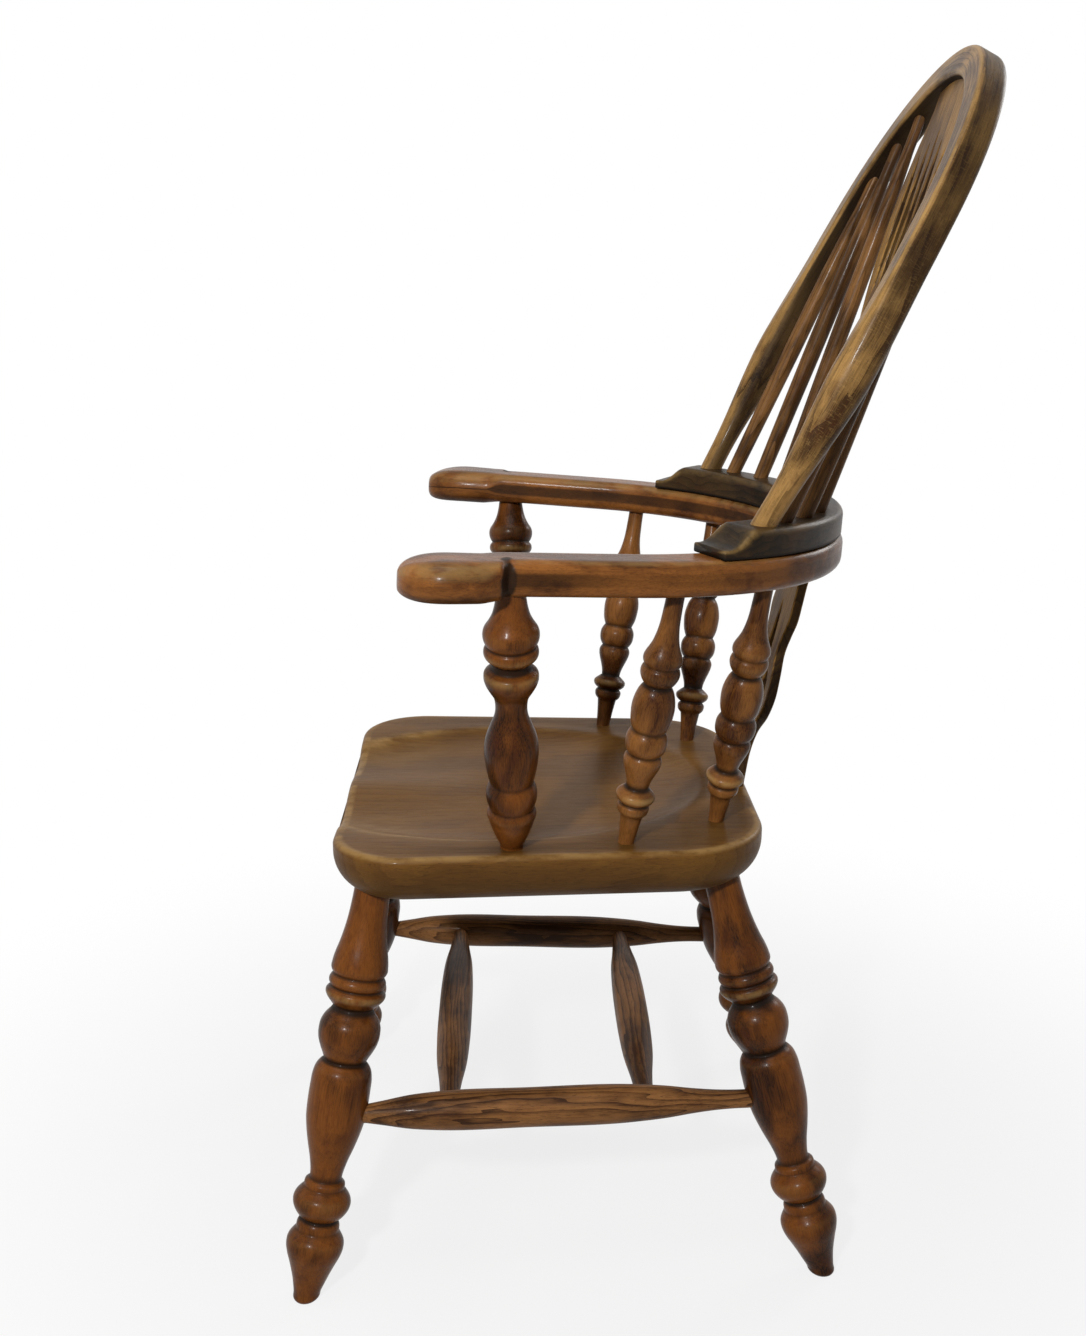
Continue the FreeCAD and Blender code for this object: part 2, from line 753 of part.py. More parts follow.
def hoop_arcs():
    """The middle of the side arc, and the angle at which it reaches the foot."""
    shoulder = math.radians(size("hoop_shoulder"))
    difference = size("hoop_top_radius") - size("hoop_side_radius")
    middle_x = difference * math.cos(shoulder)
    middle_y = size("hoop_top_middle") + difference * math.sin(shoulder)
    foot_angle = -math.asin(middle_y / size("hoop_side_radius"))
    return middle_x, middle_y, foot_angle


TENON_STATIONS = 3
SIDE_STATIONS = 12
TOP_STATIONS = 9


def hoop_half():
    """Stations up the sitter's left half: x, y, outward angle and distance from the foot."""
    middle_x, middle_y, foot_angle = hoop_arcs()
    side_radius = size("hoop_side_radius")
    top_radius = size("hoop_top_radius")
    shoulder = math.radians(size("hoop_shoulder"))
    foot_x = middle_x + side_radius * math.cos(foot_angle)
    stations = []
    for step in range(TENON_STATIONS):
        down = size("hoop_tenon_length") * (1 - step / TENON_STATIONS)
        x = foot_x + down * math.sin(foot_angle)
        y = -down * math.cos(foot_angle)
        stations.append((x, y, foot_angle, -down))
    for step in range(SIDE_STATIONS):
        angle = foot_angle + (shoulder - foot_angle) * step / SIDE_STATIONS
        x = middle_x + side_radius * math.cos(angle)
        y = middle_y + side_radius * math.sin(angle)
        stations.append((x, y, angle, side_radius * (angle - foot_angle)))
    side_length = side_radius * (shoulder - foot_angle)
    for step in range(TOP_STATIONS):
        angle = shoulder + (math.pi / 2 - shoulder) * step / TOP_STATIONS
        x = top_radius * math.cos(angle)
        y = size("hoop_top_middle") + top_radius * math.sin(angle)
        stations.append((x, y, angle, side_length + top_radius * (angle - shoulder)))
    return stations


SECTION_FACES = 4
FACE_POINTS = 7
HOOP_NECK = 20
THIN_START = 130
THIN_LENGTH = 130
ROUND = 2
SOFT = 2.5
SQUARE = 4


def eased(value, start, reach):
    """0 before start, 1 beyond it by reach, smooth in between."""
    share = min(max((value - start) / reach, 0), 1)
    return share * share * (3 - 2 * share)


def hoop_section(x, y, angle, distance):
    """A closed section: a circle at the foot, a stout oval above it and a thinner soft square on top."""
    grown = eased(distance, HOOP_NECK, size("hoop_taper"))
    thin = eased(distance, THIN_START, THIN_LENGTH)
    foot = size("hoop_foot")
    width = foot + (size("hoop_width") - foot) * grown
    width += (size("hoop_top_width") - size("hoop_width")) * thin
    depth = foot + (size("hoop_depth") - foot) * grown
    depth += (size("hoop_top_depth") - size("hoop_depth")) * thin
    across = width / 2
    deep = depth / 2
    power = 2 / (ROUND + (SOFT - ROUND) * grown + (SQUARE - SOFT) * thin)
    faces = []
    for face in range(SECTION_FACES):
        points = []
        for step in range(FACE_POINTS):
            turn = 2 * math.pi / SECTION_FACES * (face - 0.5 + step / (FACE_POINTS - 1))
            reach = across * math.copysign(abs(math.cos(turn)) ** power, math.cos(turn))
            height = deep * math.copysign(abs(math.sin(turn)) ** power, math.sin(turn))
            points.append(Vector(x + reach * math.cos(angle), y + reach * math.sin(angle), height))
        curve = Part.BSplineCurve()
        curve.interpolate(points)
        faces.append(curve.toShape())
    return Part.Wire(faces)


def back_hoop(holes):
    """The bent hoop, lofted through its sections, with the sockets of the sticks and splat."""
    left = hoop_half()
    half_length = left[-1][3] + size("hoop_top_radius") * (math.pi / 2 - left[-1][2])
    top = (0, size("hoop_top_middle") + size("hoop_top_radius"), math.pi / 2, half_length)
    right = [(-x, y, math.pi - angle, distance) for x, y, angle, distance in reversed(left)]
    sections = [hoop_section(*station) for station in left + [top] + right]
    blank = doc.addObject("Part::Feature", "back_hoop_bent")
    blank.Shape = Part.makeLoft(sections, True, False)
    blank.Placement = hoop_placement()
    return cut("back_hoop", blank, holes)


def crest_top(x, y):
    """A point of the crest's top face, above a place on the floor."""
    placement = bow_placement(size("arm_thickness") + size("crest_thickness"))
    normal = placement.Rotation.multVec(UP)
    offset = normal.x * x + normal.y * (y - placement.Base.y)
    return Vector(x, y, placement.Base.z - offset / normal.z)


STICK_FEET = (48.2, 57.8, 67.6)
STICK_HEADS = (25, 41, 56)
STICK_HEAD_DEPTH = 22
STICK_ENTRY = 34
STICK_OFFSET = 5
STICK_NECK = 28
# Shares of a stick's length and diameters
STICK_SHAFT = [(0, size("stick_bottom")), (0.25, 17), (0.5, 18.2), (0.75, 16)]


def stick_axis(number, side):
    """The points where a stick leaves the crest and meets the hoop's inner face."""
    radius = (size("bow_inner") + size("bow_outer")) / 2 + STICK_OFFSET
    foot = crest_top(*bow_point(radius, STICK_FEET[number], side))
    angle = math.radians(STICK_HEADS[number])
    inner = size("hoop_top_radius") - size("hoop_top_width") / 2
    head = Vector(side * inner * math.cos(angle), size("hoop_top_middle") + inner * math.sin(angle), 0)
    return foot, hoop_placement().multVec(head)


def back_sticks():
    """The six tapered sticks, fanned slightly between the crest and the hoop."""
    for number in range(len(STICK_FEET)):
        for side_name, side in SIDES.items():
            foot, head = stick_axis(number, side)
            length = (head - foot).Length
            thin = size("stick_top")
            shaft = [(share * length, diameter) for share, diameter in STICK_SHAFT]
            shaft.append((length - STICK_NECK, thin))
            stretches = [[(-size("stick_socket_depth"), size("stick_bottom")), shaft[0]], shaft,
                         [shaft[-1], (length + STICK_HEAD_DEPTH, thin)]]
            label = f"back_stick_{number + 1}_{side_name}"
            body = turned(label, stretches, cell("stick_bottom"), cell("stick_top"))
            body.Placement = aim(foot, head)
            pieces[label] = body


def stick_sockets(label, into_hoop):
    """The sockets of the sticks, in the hoop or in the crest."""
    holes = []
    gap = size("glue_gap")
    for number in range(len(STICK_FEET)):
        for side in (LEFT, RIGHT):
            foot, head = stick_axis(number, side)
            length = (head - foot).Length
            name = f"{label}_stick_{number + 1}_{side}"
            if into_hoop:
                start = length - STICK_ENTRY
                depth = STICK_ENTRY + STICK_HEAD_DEPTH + gap
                hole = socket(name, aim(foot, head), cell("stick_top"), depth, start)
            else:
                depth = size("stick_socket_depth")
                hole = socket(name, aim(foot, head), cell("stick_bottom"), 2 * depth, -depth - gap)
            holes.append(hole)
    return holes


def hoop_foot_sockets():
    """The two sockets of the hoop's feet, drilled through the crest along the hoop."""
    holes = []
    middle_x, middle_y, foot_angle = hoop_arcs()
    foot_x = middle_x + size("hoop_side_radius") * math.cos(foot_angle)
    for side in (LEFT, RIGHT):
        depth = size("hoop_tenon_length")
        low = Vector(side * (foot_x + depth * math.sin(foot_angle)), -depth * math.cos(foot_angle), 0)
        high = Vector(side * foot_x, 0, 0)
        placement = aim(hoop_placement().multVec(low), hoop_placement().multVec(high))
        gap = size("glue_gap")
        holes.append(socket(f"crest_hoop_foot_{side}", placement, cell("hoop_foot"), 2 * depth, -gap))
    return holes


# Splats
# Both are flat pierced boards. Each outline gives half widths at heights up the board.

SPLAT_TENON = 12
SPLAT_ENTRY = 30
LOWER_OUTLINE = [(0, 34), (14, 26), (34, 18), (58, 24), (82, 47), (104, 55), (128, 47), (148, 37),
                 (166, 42), (184, 50), (204, 47), (222, 43), (245, 45)]
UPPER_OUTLINE = [(0, 40), (24, 31), (60, 24), (100, 27), (140, 38), (180, 57), (220, 71), (270, 77),
                 (315, 75), (350, 66), (385, 54), (412, 52)]
# Each slot's middle, lower end, upper end and half width. It is widest between two shoulders.
SLOT_SHOULDER = 0.2
LOWER_PIERCINGS = [(0, 52, 196, 7), (-25, 84, 126, 7), (25, 84, 126, 7)]
UPPER_PIERCINGS = [(0, 64, 366, 7), (-22, 168, 356, 7), (22, 168, 356, 7), (-46, 208, 346, 7),
                   (46, 208, 346, 7)]


def splat(label, placement, outline, piercings):
    """A board with a waisted outline, a straight tenon at each end and slot piercings."""
    body = new_body(label)
    sketch = new_sketch(body, label + "_outline", "XY_Plane")
    foot, head = outline[0], outline[-1]
    right = [(half, height) for height, half in outline]
    left = [(-half, height) for height, half in reversed(outline)]
    low = foot[0] - SPLAT_TENON
    high = head[0] + SPLAT_TENON
    draw_loop(sketch, [[(-foot[1], low), (foot[1], low)], [(foot[1], low), right[0]], right,
                       [right[-1], (head[1], high)], [(head[1], high), (-head[1], high)],
                       [(-head[1], high), left[0]], left, [left[-1], (-foot[1], low)]])
    for middle, start, end, half in piercings:
        shoulder = SLOT_SHOULDER * (end - start)
        rising = [(middle, start), (middle + half, start + shoulder), (middle + half, end - shoulder),
                  (middle, end)]
        falling = [(2 * middle - x, y) for x, y in reversed(rising)]
        draw_loop(sketch, [rising, falling])
    pad_outline(body, sketch, label + "_board", cell("splat_thickness"))
    half_thickness = FreeCAD.Placement(Vector(0, 0, -size("splat_thickness") / 2), FreeCAD.Rotation())
    body.Placement = placement.multiply(half_thickness)
    return body


def lower_placement():
    """The lower splat's middle plane, standing on the seat."""
    base = Vector(0, size("lower_splat_y"), size("seat_underside") + size("seat_thickness"))
    return leaning(base, size("lower_splat_lean"))


def upper_placement():
    """The upper splat's middle plane, from the crest to the top of the hoop's inner face."""
    base = crest_top(0, size("upper_splat_y"))
    inner = size("hoop_top_middle") + size("hoop_top_radius") - size("hoop_top_width") / 2
    head = hoop_placement().multVec(Vector(0, inner, 0))
    lean = math.degrees(math.atan2(head.y - base.y, head.z - base.z))
    return leaning(base, lean)


def splat_slots(label, placement, outline, at_head):
    """The mortise of one end of a splat."""
    height, half = outline[-1] if at_head else outline[0]
    gap = size("glue_gap")
    if at_head:
        start = height - SPLAT_ENTRY
        depth = SPLAT_ENTRY + SPLAT_TENON + gap
    else:
        start = height - SPLAT_TENON - gap
        depth = 2 * SPLAT_TENON + gap
    return slot(label, placement, 2 * half, size("splat_thickness"), depth, start)


# Screws
# Four screws hold the crest down. They are driven up through the arms from below.

# Each screw's angle round the bow and its radius
SCREW_SPOTS = ((35, 232), (62.6, 242))
SCREW_HEAD = 10
SCREW_HEAD_RIM = 1
SCREW_HEAD_HEIGHT = 4
SCREW_SHANK = 5
SCREW_START = 2
SCREW_POINT = 1
SCREW_POINT_LENGTH = 5
SCREW_REACH = 48


def screw_spots():
    """The placement of each screw, square to the bow's plane."""
    spots = []
    for side in (LEFT, RIGHT):
        for turn, radius in SCREW_SPOTS:
            flat = FreeCAD.Placement(Vector(*bow_point(radius, turn, side), 0), FreeCAD.Rotation())
            spots.append((side, turn, bow_placement().multiply(flat)))
    return spots


def screw_holes(label, sides):
    """The recess and the clearance hole of each screw on the given sides."""
    holes = []
    gap = size("glue_gap")
    for side, turn, placement in screw_spots():
        if side in sides:
            name = f"{label}_screw_{side}_{int(turn)}"
            head_depth = 2 * SCREW_START + SCREW_HEAD_HEIGHT + gap
            holes.append(socket(name + "_head", placement, str(SCREW_HEAD), head_depth, -SCREW_START))
            holes.append(socket(name + "_shank", placement, str(SCREW_SHANK), SCREW_REACH + gap, 0))
    return holes


def crest_screws():
    """The four screws, as one group."""
    screws = []
    face = (SCREW_START, SCREW_HEAD)
    rim = (SCREW_START + SCREW_HEAD_RIM, SCREW_HEAD)
    neck = (SCREW_START + SCREW_HEAD_HEIGHT, SCREW_SHANK)
    shoulder = (SCREW_REACH - SCREW_POINT_LENGTH, SCREW_SHANK)
    tip = (SCREW_REACH, SCREW_POINT)
    for number, (side, turn, placement) in enumerate(screw_spots(), start=1):
        stretches = [[face, rim], [rim, neck], [neck, shoulder], [shoulder, tip]]
        screw = turned(f"crest_screw_{number}", stretches, str(SCREW_HEAD), str(SCREW_POINT))
        screw.Placement = placement
        screws.append(screw)
    group = doc.addObject("Part::Compound", "crest_screws")
    group.Links = screws
    pieces["crest_screws"] = group


# Assembly

legs()
stretchers()
posts()
crest_screws()
back_sticks()
lower = lower_placement()
upper = upper_placement()
pieces["lower_splat"] = splat("lower_splat", lower, LOWER_OUTLINE, LOWER_PIERCINGS)
pieces["upper_splat"] = splat("upper_splat", upper, UPPER_OUTLINE, UPPER_PIERCINGS)
seat(splat_slots("seat_splat_slot", lower, LOWER_OUTLINE, False))
for side_name, side in SIDES.items():
    arm_slot = splat_slots(f"arm_splat_slot_{side_name}", lower, LOWER_OUTLINE, True)
    pieces["arm_" + side_name] = arm(side_name, side, screw_holes("arm_" + side_name, [side]), [arm_slot])
crest_slot = splat_slots("crest_splat_slot", upper, UPPER_OUTLINE, False)
crest_holes = screw_holes("crest", [LEFT, RIGHT]) + stick_sockets("crest", False)
pieces["arm_crest"] = crest(crest_holes + hoop_foot_sockets() + [crest_slot])
hoop_slot = splat_slots("hoop_splat_slot", upper, UPPER_OUTLINE, True)
pieces["back_hoop"] = back_hoop(stick_sockets("hoop", True) + [hoop_slot])
doc.recompute()

for item in doc.Objects:
    if "Invalid" in item.State or "Error" in item.State:
        raise RuntimeError(f"{item.Label} failed: {item.State}")

os.makedirs("parts", exist_ok=True)
whole = FreeCAD.BoundBox()
for name, piece in pieces.items():
    piece.Label = name
    shape = piece.Shape
    if shape.isNull() or not shape.isValid() or shape.Volume <= 0:
        raise RuntimeError(f"{name} has no valid solid")
    shape.exportStep(f"parts/{name}.step")
    whole.add(shape.optimalBoundingBox())
    print(f"{name}: {len(shape.Solids)} solid, {shape.Volume / 1000:.1f} cubic centimetres")
print(f"box x {whole.XMin:.1f} {whole.XMax:.1f} y {whole.YMin:.1f} {whole.YMax:.1f}")
print(f"box z {whole.ZMin:.1f} {whole.ZMax:.1f}")
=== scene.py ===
import math
from itertools import product

import bpy
import numpy as np
from bpy.props import FloatProperty, FloatVectorProperty, IntProperty, PointerProperty
from mathutils import Matrix, Vector
from mathutils.geometry import tessellate_polygon


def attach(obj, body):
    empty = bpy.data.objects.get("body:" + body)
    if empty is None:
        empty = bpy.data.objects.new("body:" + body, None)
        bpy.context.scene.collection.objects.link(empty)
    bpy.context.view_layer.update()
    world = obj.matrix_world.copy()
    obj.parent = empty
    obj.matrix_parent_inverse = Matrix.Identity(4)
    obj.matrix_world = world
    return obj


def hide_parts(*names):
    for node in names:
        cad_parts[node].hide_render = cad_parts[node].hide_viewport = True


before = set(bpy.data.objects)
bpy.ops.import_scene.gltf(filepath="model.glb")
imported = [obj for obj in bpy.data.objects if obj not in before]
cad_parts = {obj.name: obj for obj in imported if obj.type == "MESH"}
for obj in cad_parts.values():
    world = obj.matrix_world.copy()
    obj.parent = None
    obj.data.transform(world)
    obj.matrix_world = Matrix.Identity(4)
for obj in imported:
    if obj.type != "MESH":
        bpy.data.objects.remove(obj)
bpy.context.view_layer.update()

bl_info = {
    "name": "Hoop back windsor chair",
    "version": (1, 0, 0),
    "blender": (4, 5, 0),
    "location": "View3D > Sidebar > Chair",
    "description": "Dresses the chair's frame in turned, bent and sawn pieces of old waxed wood",
    "category": "Add Mesh",
}

MM = 0.001
FULL_TURN = 2 * math.pi
# As the sitter has them: x runs to the left, y to the back and z up
UP = np.array([0.0, 0.0, 1.0])
BACK = np.array([0.0, 1.0, 0.0])
RIGHT = np.array([-1.0, 0.0, 0.0])
SIDES = {"left": 1, "right": -1}


def linear(hex_colour):
    """An sRGB hex value as the linear colour that Blender's sockets hold."""
    parts = [int(hex_colour[start:start + 2], 16) / 255 for start in (0, 2, 4)]
    return tuple(part / 12.92 if part <= 0.04045 else ((part + 0.055) / 1.055) ** 2.4 for part in parts)


def length(name, default, description):
    """A size in metres."""
    return FloatProperty(name=name, default=default, description=description, unit="LENGTH", precision=4)


def degrees(name, default, description):
    """An angle, written here in degrees."""
    return FloatProperty(name=name, default=math.radians(default), description=description, subtype="ANGLE")


def share(name, default, description):
    """A plain number with no unit."""
    return FloatProperty(name=name, default=default, description=description, precision=3)


def power(name, default, description):
    """A lamp's power in watts."""
    return FloatProperty(name=name, default=default, description=description, unit="POWER")


def colour(name, hex_colour, description):
    """A colour, written here as sRGB hex."""
    return FloatVectorProperty(name=name, default=linear(hex_colour), description=description,
                               subtype="COLOR", size=3, min=0, max=1)


class TurnedSizes(bpy.types.PropertyGroup):
    """What a turner would change on the legs, posts, stretchers and sticks."""

    around: IntProperty(name="Facets around", default=72, min=12, description="Facets of a turned piece")
    row_step: length("Row step", 0.0013, "Distance between the rows along a turned piece")
    ovality: share("Ovality", 0.012, "How much narrower an old turning is across the grain")
    groove_reach: length("Groove reach", 0.009, "Length over which grooves and beads stand out")
    # A groove's darkness is in part grime and in part painted shade
    groove_depth: length("Groove depth", 0.0035, "Depth at which a groove holds its full share of grime")
    seat_tenon: length("Seat tenon", 0.028, "Length of a post's tenon in the seat")
    arm_tenon: length("Arm tenon", 0.020, "Length of a post's tenon in the arm")
    stretcher_inset: length("Stretcher inset", 0.006, "Gap between a leg's axis and a stretcher's end")
    stick_foot: length("Stick foot", 0.016, "Length of a stick's tenon in the crest")
    stick_head: length("Stick head", 0.022, "Length of a stick's tenon in the hoop")


class SeatSizes(bpy.types.PropertyGroup):
    """The dished seat plank."""

    underside: length("Underside", 0.398, "Height of the plank's lower face")
    thickness: length("Thickness", 0.051, "Thickness at the rim")
    front_edge: length("Front edge", -0.286, "Where the front edge lies")
    rear_edge: length("Rear edge", 0.128, "Where the rear edge lies")
    front_half: length("Front half width", 0.236, "Half the width at the front edge")
    rear_half: length("Rear half width", 0.213, "Half the width at the rear edge")
    front_corner: length("Front corner", 0.070, "Radius of the front corners")
    rear_corner: length("Rear corner", 0.092, "Radius of the rear corners")
    top_round: length("Top round", 0.006, "Rounding of the worn upper edge")
    under_round: length("Under round", 0.037, "Rounding below, which makes the plank look thinner")
    dish_depth: length("Dish depth", 0.0105, "Depth of the hollow for the sitter")
    dish_middle: length("Dish middle", -0.130, "Where the hollow is deepest")
    dish_half_width: length("Dish half width", 0.180, "Half the hollow's width")
    dish_half_length: length("Dish half length", 0.215, "Half the hollow's length")
    pommel: length("Pommel", 0.0045, "Height of the soft ridge between the sitter's legs")


class BowSizes(bpy.types.PropertyGroup):
    """The arm bow: two arms that meet behind the sitter, and the crest on top of them."""

    back_height: length("Back height", 0.687, "Height of the arms' underside behind the sitter")
    rise: degrees("Rise", 2.93, "How much the bow rises towards the front")
    middle_y: length("Middle", -0.053, "Where the middle of the bow's circle lies")
    inner: length("Inner radius", 0.217, "Radius of the bow's inner edge")
    outer: length("Outer radius", 0.267, "Radius of the bow's outer edge")
    thickness: length("Arm thickness", 0.032, "Thickness of an arm")
    flare: degrees("Flare", 10, "How much each arm turns outwards")
    arm_round: length("Arm rounding", 0.0095, "Rounding of an arm's edges")
    tip: length("Hand tip", 0.205, "How far the hand reaches ahead of the bow's circle")
    hand_start: length("Hand start", 0.158, "Where the hand starts to close")
    hand_swell: length("Hand swell", 0.004, "How much thicker the glued hand is, below the arm")
    crest_inner: length("Crest inner radius", 0.216, "Radius of the crest's inner face")
    crest_outer: length("Crest outer radius", 0.2645, "Radius of the crest's outer face")
    crest_thickness: length("Crest thickness", 0.026, "Height of the crest above the arms")
    crest_end: degrees("Crest end", 27, "Angle at which the crest ends")


class HoopSizes(bpy.types.PropertyGroup):
    """The bent hoop and what stands in it."""

    lean: degrees("Lean", 27.5, "How far the hoop leans back")
    foot_height: length("Foot height", 0.749, "Height of the hoop's feet on the crest")
    foot_y: length("Foot place", 0.109, "Where the hoop's feet stand")
    top_radius: length("Top radius", 0.190, "Radius of the round top")
    top_middle: length("Top middle", 0.265, "Middle of the round top, up the lean")
    side_radius: length("Side radius", 0.777, "Radius of each long side")
    shoulder: degrees("Shoulder", 12, "Angle at which the sides turn into the top")
    width: length("Width", 0.034, "Width of the hoop's legs seen from the front")
    depth: length("Depth", 0.038, "Depth of the hoop's legs seen from the side")
    top_width: length("Top width", 0.030, "Width of the hoop's top seen from the front")
    top_depth: length("Top depth", 0.029, "Depth of the hoop's top seen from the side")
    thin_start: length("Thinning start", 0.130, "Distance from a foot at which the hoop gets thinner")
    thin_length: length("Thinning length", 0.130, "Length over which the hoop gets thinner")
    foot: length("Foot", 0.022, "Diameter of the hoop's feet")
    tenon: length("Foot tenon", 0.022, "Length of a foot inside the crest")
    neck: length("Neck", 0.020, "Straight length above a foot")
    taper: length("Taper", 0.140, "Length over which the foot grows into the hoop")
    ridge: length("Ridge", 0.0045, "Rounding of the hoop's edges")
    splat_thickness: length("Splat thickness", 0.010, "Thickness of both splats")
    splat_edge: length("Splat edge", 0.0016, "Rounding of the splats' edges")
    lower_splat_y: length("Lower splat place", 0.119, "Where the lower splat stands on the seat")
    lower_splat_lean: degrees("Lower splat lean", 14.5, "How far the lower splat leans back")
    upper_splat_y: length("Upper splat place", 0.190, "Where the upper splat stands on the crest")


class FinishColours(bpy.types.PropertyGroup):
    """The colours of the old waxed finish on each kind of piece."""

    turned_light: colour("Turned beech", "754319", "Stained beech of the legs and stumps where it is rubbed")
    turned_dark: colour("Turned beech, dark", "1e0d05", "The same in its dark grain")
    spindle_light: colour("Spindle", "85562a", "The lighter turned spindles under the arms")
    spindle_dark: colour("Spindle, dark", "34190a", "The same in its dark grain")
    stretcher_light: colour("Stretcher", "8a5e36", "The stretchers where feet have rubbed them")
    stretcher_dark: colour("Stretcher, dark", "382110", "The same in its dark grain")
    seat_light: colour("Seat elm", "6f4c20", "Elm of the seat where it is rubbed")
    seat_dark: colour("Seat elm, dark", "4a2e12", "The same in its dark grain")
    arm_light: colour("Arm", "8a5628", "The arms where hands have rubbed them")
    arm_dark: colour("Arm, dark", "41230f", "The same in its dark grain")
    crest_light: colour("Crest", "3c2b16", "The crest's greenish brown")
    crest_dark: colour("Crest, dark", "170f06", "The same in its dark grain")
    hoop_light: colour("Hoop ash", "a27c48", "The hoop's golden brown front")
    hoop_dark: colour("Hoop ash, dark", "3d2813", "The same in its dark grain")
    stick_light: colour("Stick", "835c34", "The sticks' middle brown")
    stick_dark: colour("Stick, dark", "3c2611", "The same in its dark grain")
    splat_light: colour("Splat", "a0773c", "The splats' golden tan boards")
    splat_dark: colour("Splat, dark", "4a3118", "The same in its dark grain")
    stain: colour("Red stain", "43200f", "Old reddish stain in patches")
    # Grime also colours painted shade in grooves, creases, seams and shaded sides, and rubbed also colours
    # painted highlights on lit edges
    grime: colour("Grime", "110a05", "Wax and dirt in the grooves")
    rubbed: colour("Rubbed edge", "b38f58", "Bare wood on the worn edges")
    steel: colour("Steel", "5c5b58", "Dull steel of the screws")
    rust: colour("Rust", "4a2f20", "Rust on the screws")


class StageSizes(bpy.types.PropertyGroup):
    """The plain pale room and its soft light."""

    floor_radius: length("Floor radius", 9.0, "Radius of the floor")
    fade_start: length("Fade start", 0.25, "Distance from the chair where the floor starts to turn white")
    fade_end: length("Fade end", 1.1, "Distance from the chair where the floor is white")
    floor_white: share("Floor white", 0.82, "How white the floor is to the eye under the chair")
    overhead: power("Overhead lamp", 17, "Power of the lamp above")
    near: power("Near lamp", 46, "Power of the lamp near the camera")
    front: power("Front lamp", 2.5, "Power of the lamp ahead of the sitter")
    behind: power("Back lamp", 22, "Power of the lamp behind the chair")
    ambient: share("Ambient", 0.07, "Strength of the light from all around")
    ambient_tint: colour("Ambient tint", "fffdf9", "Colour of the light from all around")
    floor_tint: colour("Floor tint", "bdbdbd", "Colour of the matt floor")


# An axis is called upright when this share of it points up
STEEP = 0.9

# How far a point may lie from an end face or from the floor, and how often an axis is worked out
# anew from the two end faces that it points to
END_SLACK = 0.0003
FLOOR_SLACK = 0.0002
AXIS_ROUNDS = 4


def unit(vector):
    """The vector at length one."""
    return vector / np.linalg.norm(vector)


def smoothstep(value, low, high):
    """0 below low, 1 above high, and the cubic 3t^2 - 2t^3 in between."""
    t = np.clip((value - low) / (high - low), 0, 1)
    return t * t * (3 - 2 * t)


def through(table, places):
    """A smooth curve through a table's pairs, read at places.

    Between two pairs it is the cubic with their two values and slopes. A pair's slope is that
    of the parabola through it and its two neighbours.
    """
    at, value = np.array(table, float).T
    slope = np.gradient(value, at, edge_order=2 if len(at) > 2 else 1)
    index = np.clip(np.searchsorted(at, places, side="right") - 1, 0, len(at) - 2)
    span = at[index + 1] - at[index]
    t = np.clip((places - at[index]) / span, 0, 1)
    start, end = value[index], value[index + 1]
    leave, arrive = slope[index] * span, slope[index + 1] * span
    return ((2 * t**3 - 3 * t**2 + 1) * start + (t**3 - 2 * t**2 + t) * leave
            + (-2 * t**3 + 3 * t**2) * end + (t**3 - t**2) * arrive)


def turner_outline(runs, step):
    """Heights and radii down a turned outline: each run is a smooth curve, and runs meet in a crease."""
    heights, radii = [], []
    for number, run in enumerate(runs):
        low, high = run[0][0], run[-1][0]
        places = np.linspace(low, high, max(2, int(math.ceil((high - low) / step)) + 1))
        values = through(run, places) / 2
        skip = 1 if number else 0
        heights.append(places[skip:])
        radii.append(values[skip:])
    return np.concatenate(heights), np.concatenate(radii)


def beads_and_grooves(heights, radii, reach, depth):
    """-1 in a groove and 1 on a bead: the radius less its mean over a short reach, over a full depth."""
    grid = np.linspace(heights[0], heights[-1], len(heights))
    even = np.interp(grid, heights, radii)
    step = grid[1] - grid[0]
    half = max(1, int(reach / step))
    padded = np.pad(even, half, mode="edge")
    mean = np.convolve(padded, np.ones(2 * half + 1) / (2 * half + 1), mode="valid")
    return np.interp(heights, grid, np.clip((even - mean) / depth, -1, 1))


def axis_frame(start, end):
    """The unit vectors across and along an axis, right-handed."""
    along = unit(end - start)
    aside = unit(np.cross(UP if abs(along @ UP) < STEEP else BACK, along))
    return aside, np.cross(along, aside), along


def node_points(node):
    """A CAD node's own points."""
    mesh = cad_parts[node].data
    points = np.empty(len(mesh.vertices) * 3)
    mesh.vertices.foreach_get("co", points)
    return points.reshape(-1, 3)


def middle_of(points):
    """The middle of the box round some points."""
    return (points.min(0) + points.max(0)) / 2


def turned_axis(node, towards):
    """The middles of a turned node's two end faces, the second one towards a direction."""
    points = node_points(node)
    along = np.linalg.svd(points - points.mean(0), full_matrices=False)[2][0]
    along = along if along @ towards > 0 else -along
    for _ in range(AXIS_ROUNDS):
        reach = points @ along
        start = middle_of(points[reach < reach.min() + END_SLACK])
        end = middle_of(points[reach > reach.max() - END_SLACK])
        along = unit(end - start)
    return start, end


def leg_axis(node):
    """The middle of a leg's flat foot and of its tenon's end."""
    points = node_points(node)
    foot = middle_of(points[points[:, 2] < FLOOR_SLACK])
    return foot, turned_axis(node, UP)[1]


# The places in the log, in metres, that blanks are sawn from
LOG = (1, 9)


def blank_offset(seed):
    """Where in the log a piece's blank was sawn, so that no two pieces have the same grain."""
    return np.random.default_rng(seed).uniform(*LOG, 3)


def closed_skin(points):
    """Vertices and faces of rows of rings, with a fan of triangles over each end."""
    rows, columns = points.shape[:2]
    at = np.arange(rows * columns).reshape(rows, columns)
    after = np.roll(at, -1, axis=1)
    quads = np.stack([at[:-1], after[:-1], after[1:], at[1:]], axis=-1).reshape(-1, 4)
    low, high = rows * columns, rows * columns + 1
    foot = np.stack([np.full(columns, low), after[0], at[0]], axis=-1)
    head = np.stack([np.full(columns, high), at[-1], after[-1]], axis=-1)
    vertices = np.concatenate([points.reshape(-1, 3), [points[0].mean(0), points[-1].mean(0)]])
    return vertices, quads.tolist() + foot.tolist() + head.tolist()


